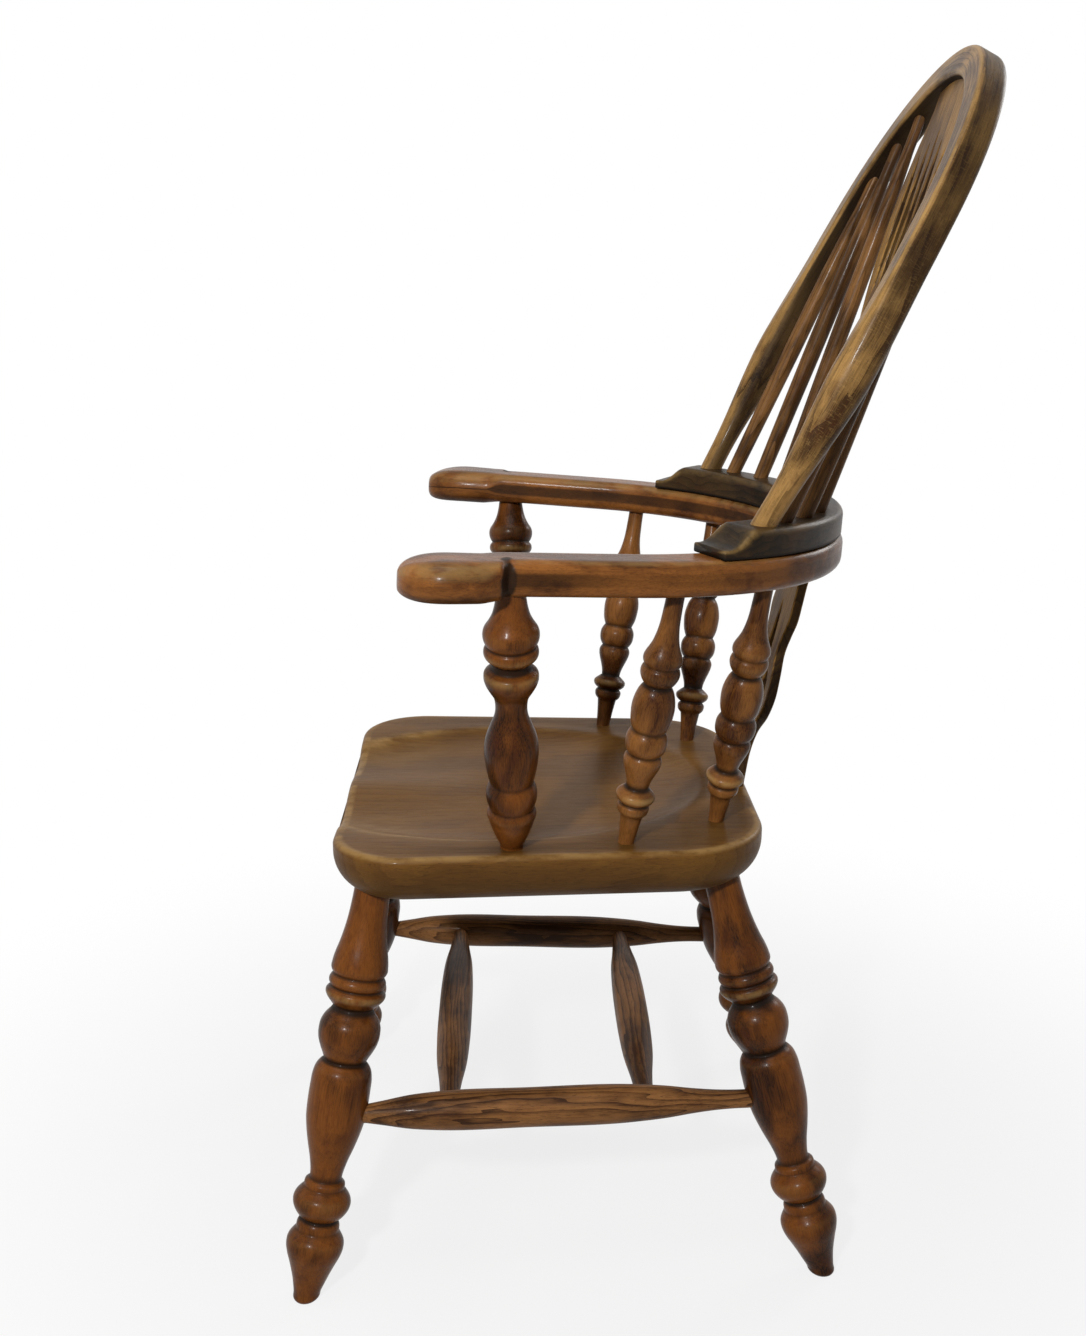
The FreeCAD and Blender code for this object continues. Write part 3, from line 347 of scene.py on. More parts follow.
def with_ends(values):
    """Row and column values as one list, with those of the two end fans."""
    flat = values.reshape(-1, *values.shape[2:])
    return np.concatenate([flat, [values[0].mean(0), values[-1].mean(0)]])


def signed_volume(vertices, faces):
    """Positive where the faces point outwards: a sum of the tetrahedra from the middle to each face."""
    middle = vertices.mean(0)
    total = 0.0
    for corners in (3, 4):
        chosen = np.array([face for face in faces if len(face) == corners])
        if len(chosen):
            first = vertices[chosen[:, 0]] - middle
            for step in range(1, corners - 1):
                second = vertices[chosen[:, step]] - middle
                third = vertices[chosen[:, step + 1]] - middle
                total += np.einsum("ij,ij->i", first, np.cross(second, third)).sum() / 6
    return total


def in_scene(name, data):
    """A new object in the scene, at the origin."""
    item = bpy.data.objects.new(name, data)
    bpy.context.scene.collection.objects.link(item)
    return item


def add_piece(name, vertices, faces, grain, worn, material, flat=None):
    """A mesh with its grain and wear attributes, in place of the CAD node of that name.

    grain is the place in the log, in metres, with the third coordinate along the fibres. worn
    runs from -1, where grime and painted shade are darkest, to 1, where an edge is rubbed bare or
    carries a painted highlight. flat marks the faces that are shaded flat.
    """
    if signed_volume(vertices, faces) < 0:
        faces = [face[::-1] for face in faces]
    mesh = bpy.data.meshes.new(name + "_wood")
    mesh.from_pydata(vertices.tolist(), [], faces)
    smooth = np.ones(len(faces), bool) if flat is None else ~flat
    mesh.polygons.foreach_set("use_smooth", smooth)
    mesh.attributes.new("grain", "FLOAT_VECTOR", "POINT").data.foreach_set("vector", grain.ravel())
    mesh.attributes.new("worn", "FLOAT", "POINT").data.foreach_set("value", worn.ravel())
    mesh.materials.append(material)
    mesh.update()
    piece = in_scene(mesh.name, mesh)
    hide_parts(name)
    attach(piece, "root")


def add(tree, kind, inputs=None, output=0, **settings):
    """Add one node and give one of its outputs.

    Settings are the node's own properties, and inputs are values or the outputs linked in.
    """
    node = tree.nodes.new(kind)
    for name, value in settings.items():
        setattr(node, name, value)
    for name, value in (inputs or {}).items():
        if isinstance(value, bpy.types.NodeSocket):
            tree.links.new(value, node.inputs[name])
        else:
            node.inputs[name].default_value = value
    return node.outputs[output] if node.outputs else None


MATH = "ShaderNodeMath"
RANGE = "ShaderNodeMapRange"
MIX = "ShaderNodeMix"
# The mix node's sockets for its two colours and for their result
UNDER = 6
OVER = 7
MIXED = 2


def empty_tree(owner):
    """The node tree of a material or a world, with nothing in it."""
    owner.use_nodes = True
    owner.node_tree.nodes.clear()
    return owner.node_tree


def streaks(tree, grain, across, along, detail):
    """Noise drawn out along the grain: across and along are its sizes in metres."""
    scale = (1 / across, 1 / across, 1 / along)
    drawn_out = add(tree, "ShaderNodeMapping", {"Vector": grain, "Scale": scale})
    return add(tree, "ShaderNodeTexNoise",
               {"Vector": drawn_out, "Scale": 1.0, "Detail": detail, "Roughness": STREAK_ROUGHNESS})


# Sizes of the wood's marks across and along the grain, in metres. Fibres and pores are drawn
# about twice as coarse as they are, so that they show in a picture of the whole chair.
RING_WANDER = (0.045, 0.35)
FIBRE = (0.0009, 0.030)
PORE = (0.0006, 0.0065)
FLECK = (0.0055, 0.0012)
PATCH = (0.055, 0.121)
SMEAR = (0.018, 0.036)
STREAK_ROUGHNESS = 0.6
# How far the year rings wander, in metres, and how sharply each turns into late wood
RING_WARP = 0.036
LATE_WOOD = 2.5
# Share of the fibres in the fine relief beside the pores, then the depths of that relief and of
# the dents of use in metres, and how strongly each shows
FIBRE_SHARE = 0.5
FIBRE_RELIEF = {"Strength": 0.45, "Distance": 0.00035}
DENT_RELIEF = {"Strength": 0.35, "Distance": 0.0016}
# Old wax is thin and half matt: most of what it mirrors is lost in the grain
WAX = {"IOR": 1.5, "Specular IOR Level": 0.07, "Coat Weight": 0.04, "Coat Roughness": 0.12}
# How much rougher the wax is on coarse fibres, and where the dark mark lies, which is grime and in part
# painted shade
FIBRE_DULLS = 0.16
GRIME_AND_SHADE_DULLS = 0.25


def waxed_wood(name, light, dark, colours, ring, ring_depth, pores, stained, polish,
               flecks=0.0, patches=0.72):
    """Old wood under wax: rings and fibres along the grain, stained patches, grooves darkened by grime and
    painted shade, and edges lightened by rubbing and painted highlights.

    ring is the distance between year rings in metres. ring_depth, pores, stained, flecks and patches
    are shares, and polish is the roughness of the best kept wax. Years of wax and hands fill the
    grain, so that highlights are small and soft. A second call with a name gives the same material.
    """
    if name in bpy.data.materials:
        return bpy.data.materials[name]
    material = bpy.data.materials.new(name)
    tree = empty_tree(material)
    grain = add(tree, "ShaderNodeAttribute", output="Vector", attribute_name="grain")
    worn = add(tree, "ShaderNodeAttribute", output="Fac", attribute_name="worn")

    across = add(tree, "ShaderNodeSeparateXYZ", {0: grain}, "X")
    wander = streaks(tree, grain, *RING_WANDER, 3)
    warp = add(tree, MATH, {0: wander, 1: RING_WARP / ring}, operation="MULTIPLY")
    phase = add(tree, MATH, {0: across, 1: 1 / ring, 2: warp}, operation="MULTIPLY_ADD")
    saw = add(tree, MATH, {0: phase}, operation="FRACT")
    late = add(tree, MATH, {0: saw, 1: LATE_WOOD}, operation="POWER")
    fibre = streaks(tree, grain, *FIBRE, 3)
    pore = streaks(tree, grain, *PORE, 1)
    patch = streaks(tree, grain, *PATCH, 3)
    smear = streaks(tree, grain, *SMEAR, 4)
    fleck = streaks(tree, grain, *FLECK, 2)

    # Each mark: what it is read from, where it starts, where it is full, and how strong it is
    marks = {
        "fibre": (fibre, 0.40, 0.72, 0.35),
        "patch": (patch, 0.40, 0.62, patches),
        "pore": (pore, 0.60, 0.74, pores),
        "red": (smear, 0.50, 0.70, stained),
        "fleck": (fleck, 0.52, 0.72, flecks),
        # rub and dirt read the worn attribute: its light end is in part rubbed wood and in part a painted
        # highlight, and its dark end is in part grime and in part painted shade in grooves, creases, seams,
        # undersides and sides turned from the light
        "rub": (worn, 0.15, 1.0, 0.5),
        "bare": (smear, 0.30, 0.62, 1.0),
        "dirt": (worn, -0.04, -0.75, 0.92),
    }
    for mark, (value, low, high, strength) in marks.items():
        span = {"Value": value, "From Min": low, "From Max": high, "To Max": strength}
        marks[mark] = add(tree, RANGE, span, interpolation_type="SMOOTHSTEP")
    lines = add(tree, MATH, {0: late, 1: ring_depth, 2: marks["fibre"]}, operation="MULTIPLY_ADD")
    figure = add(tree, MATH, {0: lines, 1: marks["patch"]}, operation="ADD", use_clamp=True)
    rubbed = add(tree, MATH, {0: marks["rub"], 1: marks["bare"]}, operation="MULTIPLY")
    layers = [(figure, dark), (marks["red"], colours.stain), (marks["fleck"], colours.rubbed),
              (marks["pore"], colours.grime), (rubbed, colours.rubbed), (marks["dirt"], colours.grime)]
    wood = (*light, 1)
    for amount, tint in layers:
        wood = add(tree, MIX, {0: amount, UNDER: wood, OVER: (*tint, 1)}, MIXED, data_type="RGBA")

    dull = add(tree, MATH, {0: fibre, 1: FIBRE_DULLS, 2: polish}, operation="MULTIPLY_ADD")
    gloss = add(tree, MATH, {0: marks["dirt"], 1: GRIME_AND_SHADE_DULLS, 2: dull},
                operation="MULTIPLY_ADD", use_clamp=True)
    relief = add(tree, MATH, {0: fibre, 1: FIBRE_SHARE, 2: marks["pore"]}, operation="MULTIPLY_ADD")
    fine = add(tree, "ShaderNodeBump", {"Height": relief, **FIBRE_RELIEF}, invert=True)
    dents = add(tree, "ShaderNodeBump", {"Height": smear, "Normal": fine, **DENT_RELIEF})
    surface = add(tree, "ShaderNodeBsdfPrincipled",
                  {"Base Color": wood, "Roughness": gloss, "Normal": dents, **WAX})
    add(tree, "ShaderNodeOutputMaterial", {"Surface": surface})
    return material


def stained_beech(colours):
    """Beech, turned and stained reddish brown: close grain, small flecks, grooves darkened by dark wax and
    painted shade.
    """
    return waxed_wood("stained_turned_beech", colours.turned_light, colours.turned_dark, colours,
                      ring=0.006, ring_depth=0.14, pores=0.35, stained=0.5, polish=0.22)


def spindle_beech(colours):
    """Beech of the spindles, turned as the legs are: rubbed lighter, with grooves darkened by dark wax and
    painted shade.
    """
    return waxed_wood("rubbed_turned_beech", colours.spindle_light, colours.spindle_dark, colours,
                      ring=0.006, ring_depth=0.14, pores=0.35, stained=0.35, polish=0.22)


def stretcher_wood(colours):
    """The stretchers' coarser wood: dry and open, with bold streaks where feet have worn the wax off."""
    return waxed_wood("worn_stretcher_wood", colours.stretcher_light, colours.stretcher_dark, colours,
                      ring=0.0045, ring_depth=0.75, pores=0.75, stained=0.25, polish=0.36)


def seat_elm(colours):
    """Elm, adzed and scraped: broad rings and open pores under a worn brown wax."""
    return waxed_wood("waxed_seat_elm", colours.seat_light, colours.seat_dark, colours,
                      ring=0.011, ring_depth=0.3, pores=0.5, stained=0.1, polish=0.34, patches=0.35)


def arm_wood(colours):
    """The arms, sawn and polished by hands: warm brown with red stain, and sides darkened in part by stain
    and in part by painted shade.
    """
    return waxed_wood("polished_arm_wood", colours.arm_light, colours.arm_dark, colours,
                      ring=0.008, ring_depth=0.2, pores=0.4, stained=0.6, polish=0.2)


def crest_wood(colours):
    """The crest's darker block: greenish brown and dull, with painted shade along its seam."""
    return waxed_wood("dark_crest_wood", colours.crest_light, colours.crest_dark, colours,
                      ring=0.007, ring_depth=0.5, pores=0.5, stained=0.2, polish=0.32)


def bent_ash(colours):
    """Ash, steamed and bent: long straight grain, short pale flecks across it, and ridges lightened by
    rubbing and by a painted highlight.
    """
    return waxed_wood("bent_hoop_ash", colours.hoop_light, colours.hoop_dark, colours,
                      ring=0.0065, ring_depth=0.45, pores=0.55, stained=0.4, polish=0.28, flecks=0.22)


def stick_wood(colours):
    """The sticks: straight grain, hand shaved, middle brown."""
    return waxed_wood("shaved_stick_wood", colours.stick_light, colours.stick_dark, colours,
                      ring=0.004, ring_depth=0.5, pores=0.5, stained=0.3, polish=0.3)


def splat_wood(colours):
    """The splats' quarter sawn boards: fine straight lines down a golden tan board."""
    return waxed_wood("sawn_splat_wood", colours.splat_light, colours.splat_dark, colours,
                      ring=0.005, ring_depth=0.6, pores=0.5, stained=0.2, polish=0.32)


# Size of a rust spot on a screw, in metres: 2.4 mm
RUST_SPOT = 1 / 420
# Roughness of the bare steel, and what rust adds to it
STEEL_DULLNESS = 0.35
RUST_DULLS = 0.4


def screw_steel(colours):
    """Old steel of the screws: dark, dull and a little rusty from damp wood."""
    material = bpy.data.materials.new("dull_screw_steel")
    tree = empty_tree(material)
    place = add(tree, "ShaderNodeTexCoord", output="Object")
    rust = add(tree, "ShaderNodeTexNoise", {"Vector": place, "Scale": 1 / RUST_SPOT, "Detail": 3.0})
    rusty = add(tree, RANGE, {"Value": rust, "From Min": 0.45, "From Max": 0.65})
    tints = {0: rusty, UNDER: (*colours.steel, 1), OVER: (*colours.rust, 1)}
    tone = add(tree, MIX, tints, MIXED, data_type="RGBA")
    rough = add(tree, MATH, {0: rust, 1: RUST_DULLS, 2: STEEL_DULLNESS}, operation="MULTIPLY_ADD")
    look = {"Base Color": tone, "Roughness": rough, "Metallic": 0.85}
    surface = add(tree, "ShaderNodeBsdfPrincipled", look)
    add(tree, "ShaderNodeOutputMaterial", {"Surface": surface})
    return material


# Height above the floor at which a leg's rows no longer tilt with its flat foot
FOOT_LEVELS = 0.022


def turned_piece(name, base, start, end, runs, sizes, material, seed, level_foot=False):
    """A turning from start to end whose heights are measured from base.

    Each row is a circle across the axis, a little narrower one way: r (1 - k (1 - cos 2a) / 2).
    A level foot is cut by the floor: the rows near it tilt by how far each point's ray runs on.
    """
    aside, ahead, along = axis_frame(start, end)
    heights, radii = turner_outline(runs, sizes.row_step)
    bead = beads_and_grooves(heights, radii, sizes.groove_reach, sizes.groove_depth)
    angles = np.arange(sizes.around) * FULL_TURN / sizes.around
    offset = blank_offset(seed)
    oval = 1 - sizes.ovality * (1 - np.cos(2 * (angles - offset[0]))) / 2
    reach = radii[:, None] * oval
    across = reach[..., None] * (np.cos(angles)[:, None] * aside + np.sin(angles)[:, None] * ahead)
    rise = np.broadcast_to(heights[:, None], reach.shape).copy()
    if level_foot:
        run_on = -(across[..., 2] / along[2])
        rise += run_on * (1 - smoothstep(heights, 0.0, FOOT_LEVELS))[:, None]
    points = base + across + rise[..., None] * along
    grain = np.stack([reach * np.cos(angles), reach * np.sin(angles), rise], axis=-1) + offset
    # Grooves darken and beads lighten: in part real wax, grime and rubbing, and in part painted shade in the
    # grooves
    worn = np.broadcast_to(bead[:, None], reach.shape)
    vertices, faces = closed_skin(points)
    add_piece(name, vertices, faces, with_ends(grain), with_ends(worn), material)


def scaled(runs, height_scale):
    """A turner's table in metres: heights scaled, and diameters from millimetres."""
    return [[(height * height_scale, diameter * MM) for height, diameter in run] for run in runs]


# Heights from the floor along the leg and diameters, in millimetres: foot vase, bulb between
# two collars, long vase, ball, two rings and a cup that runs up into the tenon
LEG_TURNING = [
    [(0, 21), (1.6, 24), (8, 26.5), (18, 32), (28, 38.5), (38, 46), (47, 53), (55, 56.3), (62, 54.5),
     (68, 47), (71, 42.5)],
    [(71, 42.5), (73.5, 42.3), (77, 41.5), (80, 38.5), (82, 35)],
    [(82, 35), (85, 42.5), (90, 50.5), (96, 55.8), (101, 56.5), (106, 53), (111, 45), (114, 39.5)],
    [(114, 39.5), (117, 39.8), (120, 37), (121.5, 31)],
    [(121.5, 31), (128, 32), (140, 36.8), (157, 46.5), (169, 52.5), (181, 57), (197, 59), (213, 59),
     (226, 57.5), (233, 53.5), (237.5, 47), (240, 40.5)],
    [(240, 40.5), (245, 45), (252, 52), (261, 58.5), (269, 60), (277, 58), (284, 51), (289, 43), (293, 39)],
    [(293, 39), (297, 46.5), (302, 55), (306, 58.5), (309.5, 56.5), (312, 49)],
    [(312, 49), (315.5, 54.5), (321, 54), (324.5, 48.5)],
    [(324.5, 48.5), (329, 54.5), (335, 54.5), (343, 52), (352, 47.5), (363, 43), (376, 39), (390, 36.5),
     (408, 35)],
    [(408, 35), (442, 35)],
]

# Shares of the height between the seat and the arm, and diameters in millimetres
STUMP_TURNING = [
    [(0.018, 22), (0.045, 28.5), (0.081, 36), (0.121, 42.5), (0.152, 46), (0.174, 41)],
    [(0.174, 41), (0.192, 44.5), (0.222, 47.5), (0.255, 45.5), (0.278, 40)],
    [(0.278, 40), (0.313, 44.5), (0.354, 48), (0.404, 50), (0.45, 47.5), (0.505, 38), (0.545, 30.5),
     (0.586, 29), (0.616, 32), (0.641, 39.5), (0.667, 46.5), (0.692, 49.5), (0.714, 46), (0.726, 36)],
    [(0.726, 36), (0.736, 34.5), (0.75, 35.5), (0.757, 40)],
    [(0.757, 40), (0.768, 46), (0.788, 49.3), (0.803, 47), (0.811, 43)],
    [(0.811, 43), (0.823, 47), (0.848, 50.5), (0.872, 48.5), (0.895, 41), (0.92, 34.5), (0.95, 30),
     (0.985, 27), (1, 26)],
]
SPINDLE_TURNING = [
    [(0, 15), (0.045, 17), (0.09, 19.5), (0.12, 21.5)],
    [(0.12, 21.5), (0.132, 27.5), (0.148, 30), (0.162, 29), (0.17, 25)],
    [(0.17, 25), (0.182, 33), (0.195, 36.5), (0.208, 36), (0.222, 29), (0.234, 21)],
    [(0.234, 21), (0.25, 21.8), (0.28, 26), (0.31, 31.5), (0.335, 35), (0.355, 35), (0.372, 30)],
    [(0.372, 30), (0.39, 36), (0.418, 39), (0.445, 37.5), (0.468, 31)],
    [(0.468, 31), (0.49, 35.5), (0.53, 39), (0.565, 39.5), (0.6, 36.5), (0.63, 31), (0.647, 25)],
    [(0.647, 25), (0.66, 30), (0.68, 35), (0.7, 36.3), (0.713, 34.5), (0.722, 31)],
    [(0.722, 31), (0.735, 35), (0.753, 35.8), (0.77, 33), (0.787, 29), (0.81, 24.5), (0.83, 22),
     (0.865, 19), (0.93, 17), (1, 16.5)],
]
POSTS = {"arm_stump": STUMP_TURNING, "side_spindle": SPINDLE_TURNING, "rear_spindle": SPINDLE_TURNING}

# Distances from the first leg's or side stretcher's axis and diameters, in millimetres
SIDE_BELLY = [(33, 18), (50, 23.5), (75, 32), (100, 36.5), (190, 38), (290, 36.5), (325, 31), (352, 24),
              (376, 19.5), (396, 18)]
CROSS_RISE = [(21, 18), (55, 23), (95, 31), (135, 34.5)]
CROSS_MIDDLE = 36

# Shares of a stick's length and diameters in millimetres
STICK_SHAFT = [(0, 15), (0.25, 17), (0.5, 18.2), (0.75, 16), (0.92, 11)]


def leg_piece(name, sizes, material, seed):
    """One leg: a turning cut level by the floor."""
    foot, top = leg_axis(name)
    runs = scaled(LEG_TURNING, MM)
    turned_piece(name, foot, foot, top, runs, sizes, material, seed, level_foot=True)


def post_piece(name, table, sizes, material, seed):
    """One post: its tenon in the seat, its turning and its tenon in the arm."""
    start, end = turned_axis(name, UP)
    whole = np.linalg.norm(end - start)
    visible = whole - sizes.seat_tenon - sizes.arm_tenon
    turning = scaled(table, visible)
    tenon = [(-sizes.seat_tenon, turning[0][0][1]), turning[0][0]]
    head = [turning[-1][-1], (visible + sizes.arm_tenon, turning[-1][-1][1])]
    base = start + sizes.seat_tenon * unit(end - start)
    runs = [tenon] + turning + [head]
    turned_piece(name, base, start, end, runs, sizes, material, seed)


def stretcher_piece(name, belly, towards, sizes, material, seed):
    """One stretcher: a long belly between two straight ends. Distances start at the leg's axis."""
    start, end = turned_axis(name, towards)
    whole = np.linalg.norm(end - start)
    inset = sizes.stretcher_inset
    middle = scaled([belly], MM)[0]
    near = [(inset, middle[0][1]), middle[0]]
    far = [middle[-1], (whole + inset, middle[-1][1])]
    base = start - inset * unit(end - start)
    turned_piece(name, base, start, end, [near, middle, far], sizes, material, seed)


def stick_piece(name, sizes, material, seed):
    """One stick: thick below, thin above, shaved by hand."""
    start, end = turned_axis(name, UP)
    whole = np.linalg.norm(end - start)
    visible = whole - sizes.stick_foot - sizes.stick_head
    shaft = scaled([STICK_SHAFT], visible)[0]
    foot = [(-sizes.stick_foot, shaft[0][1]), shaft[0]]
    head = [shaft[-1], (visible + sizes.stick_head, shaft[-1][1])]
    base = start + sizes.stick_foot * unit(end - start)
    turned_piece(name, base, start, end, [foot, shaft, head], sizes, material, seed)


CORNER_STEPS = 6
FACE_STEPS = 7
# A corner's wear is this part of a sine's arch. A face's wear has this share beside a corner and
# falls by this power to its middle.
CORNER_ARCH = (0.15, 0.85)
FACE_WEAR = 0.35
FACE_FALL = 6


def soft_section(half_across, half_up, upper_round, lower_round):
    """A rounded box at each row: its points across and up, and their wear, most on the corners.

    Each quarter is an arc of the corner's radius, and the faces between have evenly spaced points.
    """
    rows = len(half_across)
    signs = [(1, 1), (-1, 1), (-1, -1), (1, -1)]
    arcs = []
    for quarter, (right, top) in enumerate(signs):
        radius = (upper_round if top > 0 else lower_round)[:, None]
        turn = (quarter + np.linspace(0, 1, CORNER_STEPS)) * math.pi / 2
        across = right * (half_across[:, None] - radius) + radius * np.cos(turn)
        up = top * (half_up[:, None] - radius) + radius * np.sin(turn)
        arcs.append(np.stack([across, up], axis=-1))
    rings, edges = [], []
    for quarter, here in enumerate(arcs):
        following = arcs[(quarter + 1) % len(arcs)]
        steps = np.linspace(0, 1, FACE_STEPS + 2)[1:-1]
        face = here[:, -1:, :] + (following[:, :1, :] - here[:, -1:, :]) * steps[:, None]
        rings += [here, face]
        arch = np.sin(np.linspace(*CORNER_ARCH, CORNER_STEPS) * math.pi)
        fall = FACE_WEAR * (np.abs(steps - 0.5) * 2) ** FACE_FALL
        edges += [np.broadcast_to(arch, (rows, CORNER_STEPS)), np.broadcast_to(fall, (rows, FACE_STEPS))]
    return np.concatenate(rings, axis=1), np.concatenate(edges, axis=1)


def on_bow(points, sizes):
    """Points drawn flat on the bow, as (x, y, height above the arms' underside), where they lie.

    The flat drawing turns about a cross line behind the sitter, so that the front rises.
    """
    pivot = sizes.middle_y + (sizes.inner + sizes.outer) / 2
    x, y, z = np.moveaxis(points, -1, 0)
    back, lift = math.cos(sizes.rise), math.sin(sizes.rise)
    placed_y = pivot + (y - pivot) * back + z * lift
    placed_z = sizes.back_height - (y - pivot) * lift + z * back
    return np.stack([x, placed_y, placed_z], axis=-1)


# Distance ahead of the bow's circle and place across the arm, in millimetres
ARM_OUTSIDE = [(0, 267), (60, 267), (108, 266.6), (114, 266.2), (117.5, 271), (121, 277.5), (127, 281.5),
               (136, 284.5), (148, 286), (205, 286)]
ARM_INSIDE = [(0, 217), (90, 217), (126, 216.8), (150, 215), (205, 215)]
BOW_ROWS = 70
ARM_ROWS = 150
HAND_ROWS = 60
# The hand in metres: where it swells, how far its tip drifts inwards and drops, and its rounding
HAND_SWELLS = (0.112, 0.140)
HAND_DRIFT = 0.006
HAND_DROP = 0.0035
HAND_ROUND = 0.0190
# The power its outline closes by, the last share of it that has a row, how much thinner its tip
# is, and how much of the half width or height a rounding may take
HAND_POWER = 2.3
HAND_LAST = 0.985
HAND_THINS = 0.62
ROUND_LIMIT = 0.96

# Distances ahead, in metres, over which the painted shade in the notch comes and goes, and over which the
# sides darken further by stain and painted shade
NOTCH_SHADE_STARTS = (0.106, 0.114)
NOTCH_SHADE_ENDS = (0.1165, 0.124)
ARM_DARKENS = (0.0, 0.08)
# Shares of the half width over which the outer half and a side begin
ARM_OUTER_HALF = (0.1, 0.5)
ARM_SIDE = (0.80, 0.98)
# Heights above and below an arm's middle, in metres, over which its top and its underside begin; the
# underside of the hand gets painted shade
ARM_UPPER = (0.0, 0.008)
ARM_SHADED_UNDERSIDE = (0.003, 0.013)
# Shares of wear, stain and painted shade on each part, and how much a side and an edge take from each other.
# The notch and the hand's underside get painted shade, and the sides are darkened in part by stain and in
# part by painted shade.
ARM_WEAR_AND_SHADE = {"edge": 0.25, "upper_edge": 0.45, "outer_side": 0.30, "outer_side_ahead": 0.25,
            "inner_side_dirt_and_shade": 0.55, "shade_under_hand": 0.7, "notch": 1.1, "shared": 0.6}


def arm_wear_and_shade(section, half, edge, ahead, hand):
    """Edges rubbed by sleeves, sides darkened by stain and painted shade, and painted shade in the notch and
    under the hand.

    Each part is a share from 0 to 1 over the section. Rubbed parts are added and the stained and
    shaded parts are taken off, and where an edge meets a side each weakens the other.
    """
    outwards = section[..., 0] / half[:, None]
    outer_side = smoothstep(outwards, *ARM_SIDE) * (1 - hand)[:, None]
    inner_side_dirt_and_shade = smoothstep(-outwards, *ARM_SIDE)
    above = smoothstep(section[..., 1], *ARM_UPPER)
    rubbed = edge * (ARM_WEAR_AND_SHADE["edge"] + ARM_WEAR_AND_SHADE["upper_edge"] * above)
    # How much the outer side darkens: in part stain and in part painted shade
    stained = ARM_WEAR_AND_SHADE["outer_side"] + ARM_WEAR_AND_SHADE["outer_side_ahead"] * smoothstep(ahead, *ARM_DARKENS)
    worn = rubbed * (1 - ARM_WEAR_AND_SHADE["shared"] * outer_side)
    worn -= stained[:, None] * outer_side * (1 - ARM_WEAR_AND_SHADE["shared"] * edge)
    # The inner side darkens in part by stain and in part as painted shade
    worn -= ARM_WEAR_AND_SHADE["inner_side_dirt_and_shade"] * inner_side_dirt_and_shade * (1 - edge)
    # Painted shade on the underside of the hand
    worn -= ARM_WEAR_AND_SHADE["shade_under_hand"] * hand[:, None] * smoothstep(-section[..., 1], *ARM_SHADED_UNDERSIDE)
    # Painted shade in the notch behind the hand
    notch = smoothstep(ahead, *NOTCH_SHADE_STARTS) - smoothstep(ahead, *NOTCH_SHADE_ENDS)
    outer_half = smoothstep(outwards, *ARM_OUTER_HALF)
    return np.clip(worn - ARM_WEAR_AND_SHADE["notch"] * notch[:, None] * outer_half, -1, 1)


def arm_piece(name, side, sizes, material, seed):
    """One arm: half the bow, a straight flared run, a notch and a broad rounded hand.

    Rows run from behind the sitter to the tip. On the bow a row lies along a radius, and ahead of
    it across the arm. The hand's width and thickness close as (1 - t^p)^(1/p).
    """
    flare = sizes.flare
    turns = np.linspace(math.pi / 2, flare, BOW_ROWS, endpoint=False)
    straight = np.linspace(0, sizes.hand_start, ARM_ROWS, endpoint=False)
    closing = np.sin(np.linspace(0, HAND_LAST, HAND_ROWS) * math.pi / 2)
    ahead = np.concatenate([np.zeros(BOW_ROWS), straight,
                            sizes.hand_start + (sizes.tip - sizes.hand_start) * closing])
    turn = np.concatenate([turns, np.full(ARM_ROWS + HAND_ROWS, flare)])
    t = np.concatenate([np.zeros(BOW_ROWS + ARM_ROWS), closing])
    shut = (1 - t ** HAND_POWER) ** (1 / HAND_POWER)
    outside = through(ARM_OUTSIDE, ahead / MM) * MM
    inside = through(ARM_INSIDE, ahead / MM) * MM
    middle = (outside + inside) / 2 - HAND_DRIFT * t ** 2
    half = (outside - inside) / 2 * shut
    hand = smoothstep(ahead, *HAND_SWELLS)
    fuller = sizes.hand_swell / 2 * hand
    half_up = (sizes.thickness / 2 + fuller) * (1 - HAND_THINS * (1 - shut) * t)
    round_off = np.minimum(sizes.arm_round + (HAND_ROUND - sizes.arm_round) * hand,
                           ROUND_LIMIT * np.minimum(half, half_up))
    section, edge = soft_section(half, half_up, round_off, round_off)
    across = middle[:, None] + section[..., 0]
    up = sizes.thickness / 2 + section[..., 1] - (fuller + HAND_DROP * t ** 2)[:, None]
    outward = np.stack([np.cos(turn), np.sin(turn)], axis=-1)
    forward = np.stack([np.sin(turn), -np.cos(turn)], axis=-1)
    plan = across[..., None] * outward[:, None, :] + (ahead[:, None] * forward)[:, None, :]
    flat = np.stack([side * plan[..., 0], sizes.middle_y + plan[..., 1], up], axis=-1)
    grain = np.stack([flat[..., 2], flat[..., 0], flat[..., 1]], axis=-1) + blank_offset(seed)
    worn = arm_wear_and_shade(section, half, edge, ahead, hand)
    vertices, faces = closed_skin(on_bow(flat, sizes))
    add_piece(name, vertices, faces, with_ends(grain), with_ends(worn), material)


# Distance from a crest end along the arc and height, in millimetres: a lip, a cove and the top
CREST_END = [(0, 8.5), (5, 8.7), (9, 9.3), (14, 11.6), (20, 16), (27, 22.4), (32, 25.4), (34, 26)]
CREST_ROWS = 220
# Roundings of the upper and the lower edge in metres, and the share of a thin lip's height that
# the upper one may take
CREST_ROUND = 0.0075
CREST_SEAM = 0.0018
LIP_ROUND = 0.3
# Where the lip runs out and how high the painted shade along the seam reaches, in metres, and shares of wear
# and painted light: the lip's lightening is in part a painted highlight, and the seam's darkening is painted
# shade where the crest sits on the arms
LIP_ENDS = (0.028, 0.036)
SEAM_SHADE_HEIGHT = 0.004
CREST_WEAR_LIGHT_AND_SHADE = {"edge": 0.45, "lip": 0.3, "seam": 1.6}


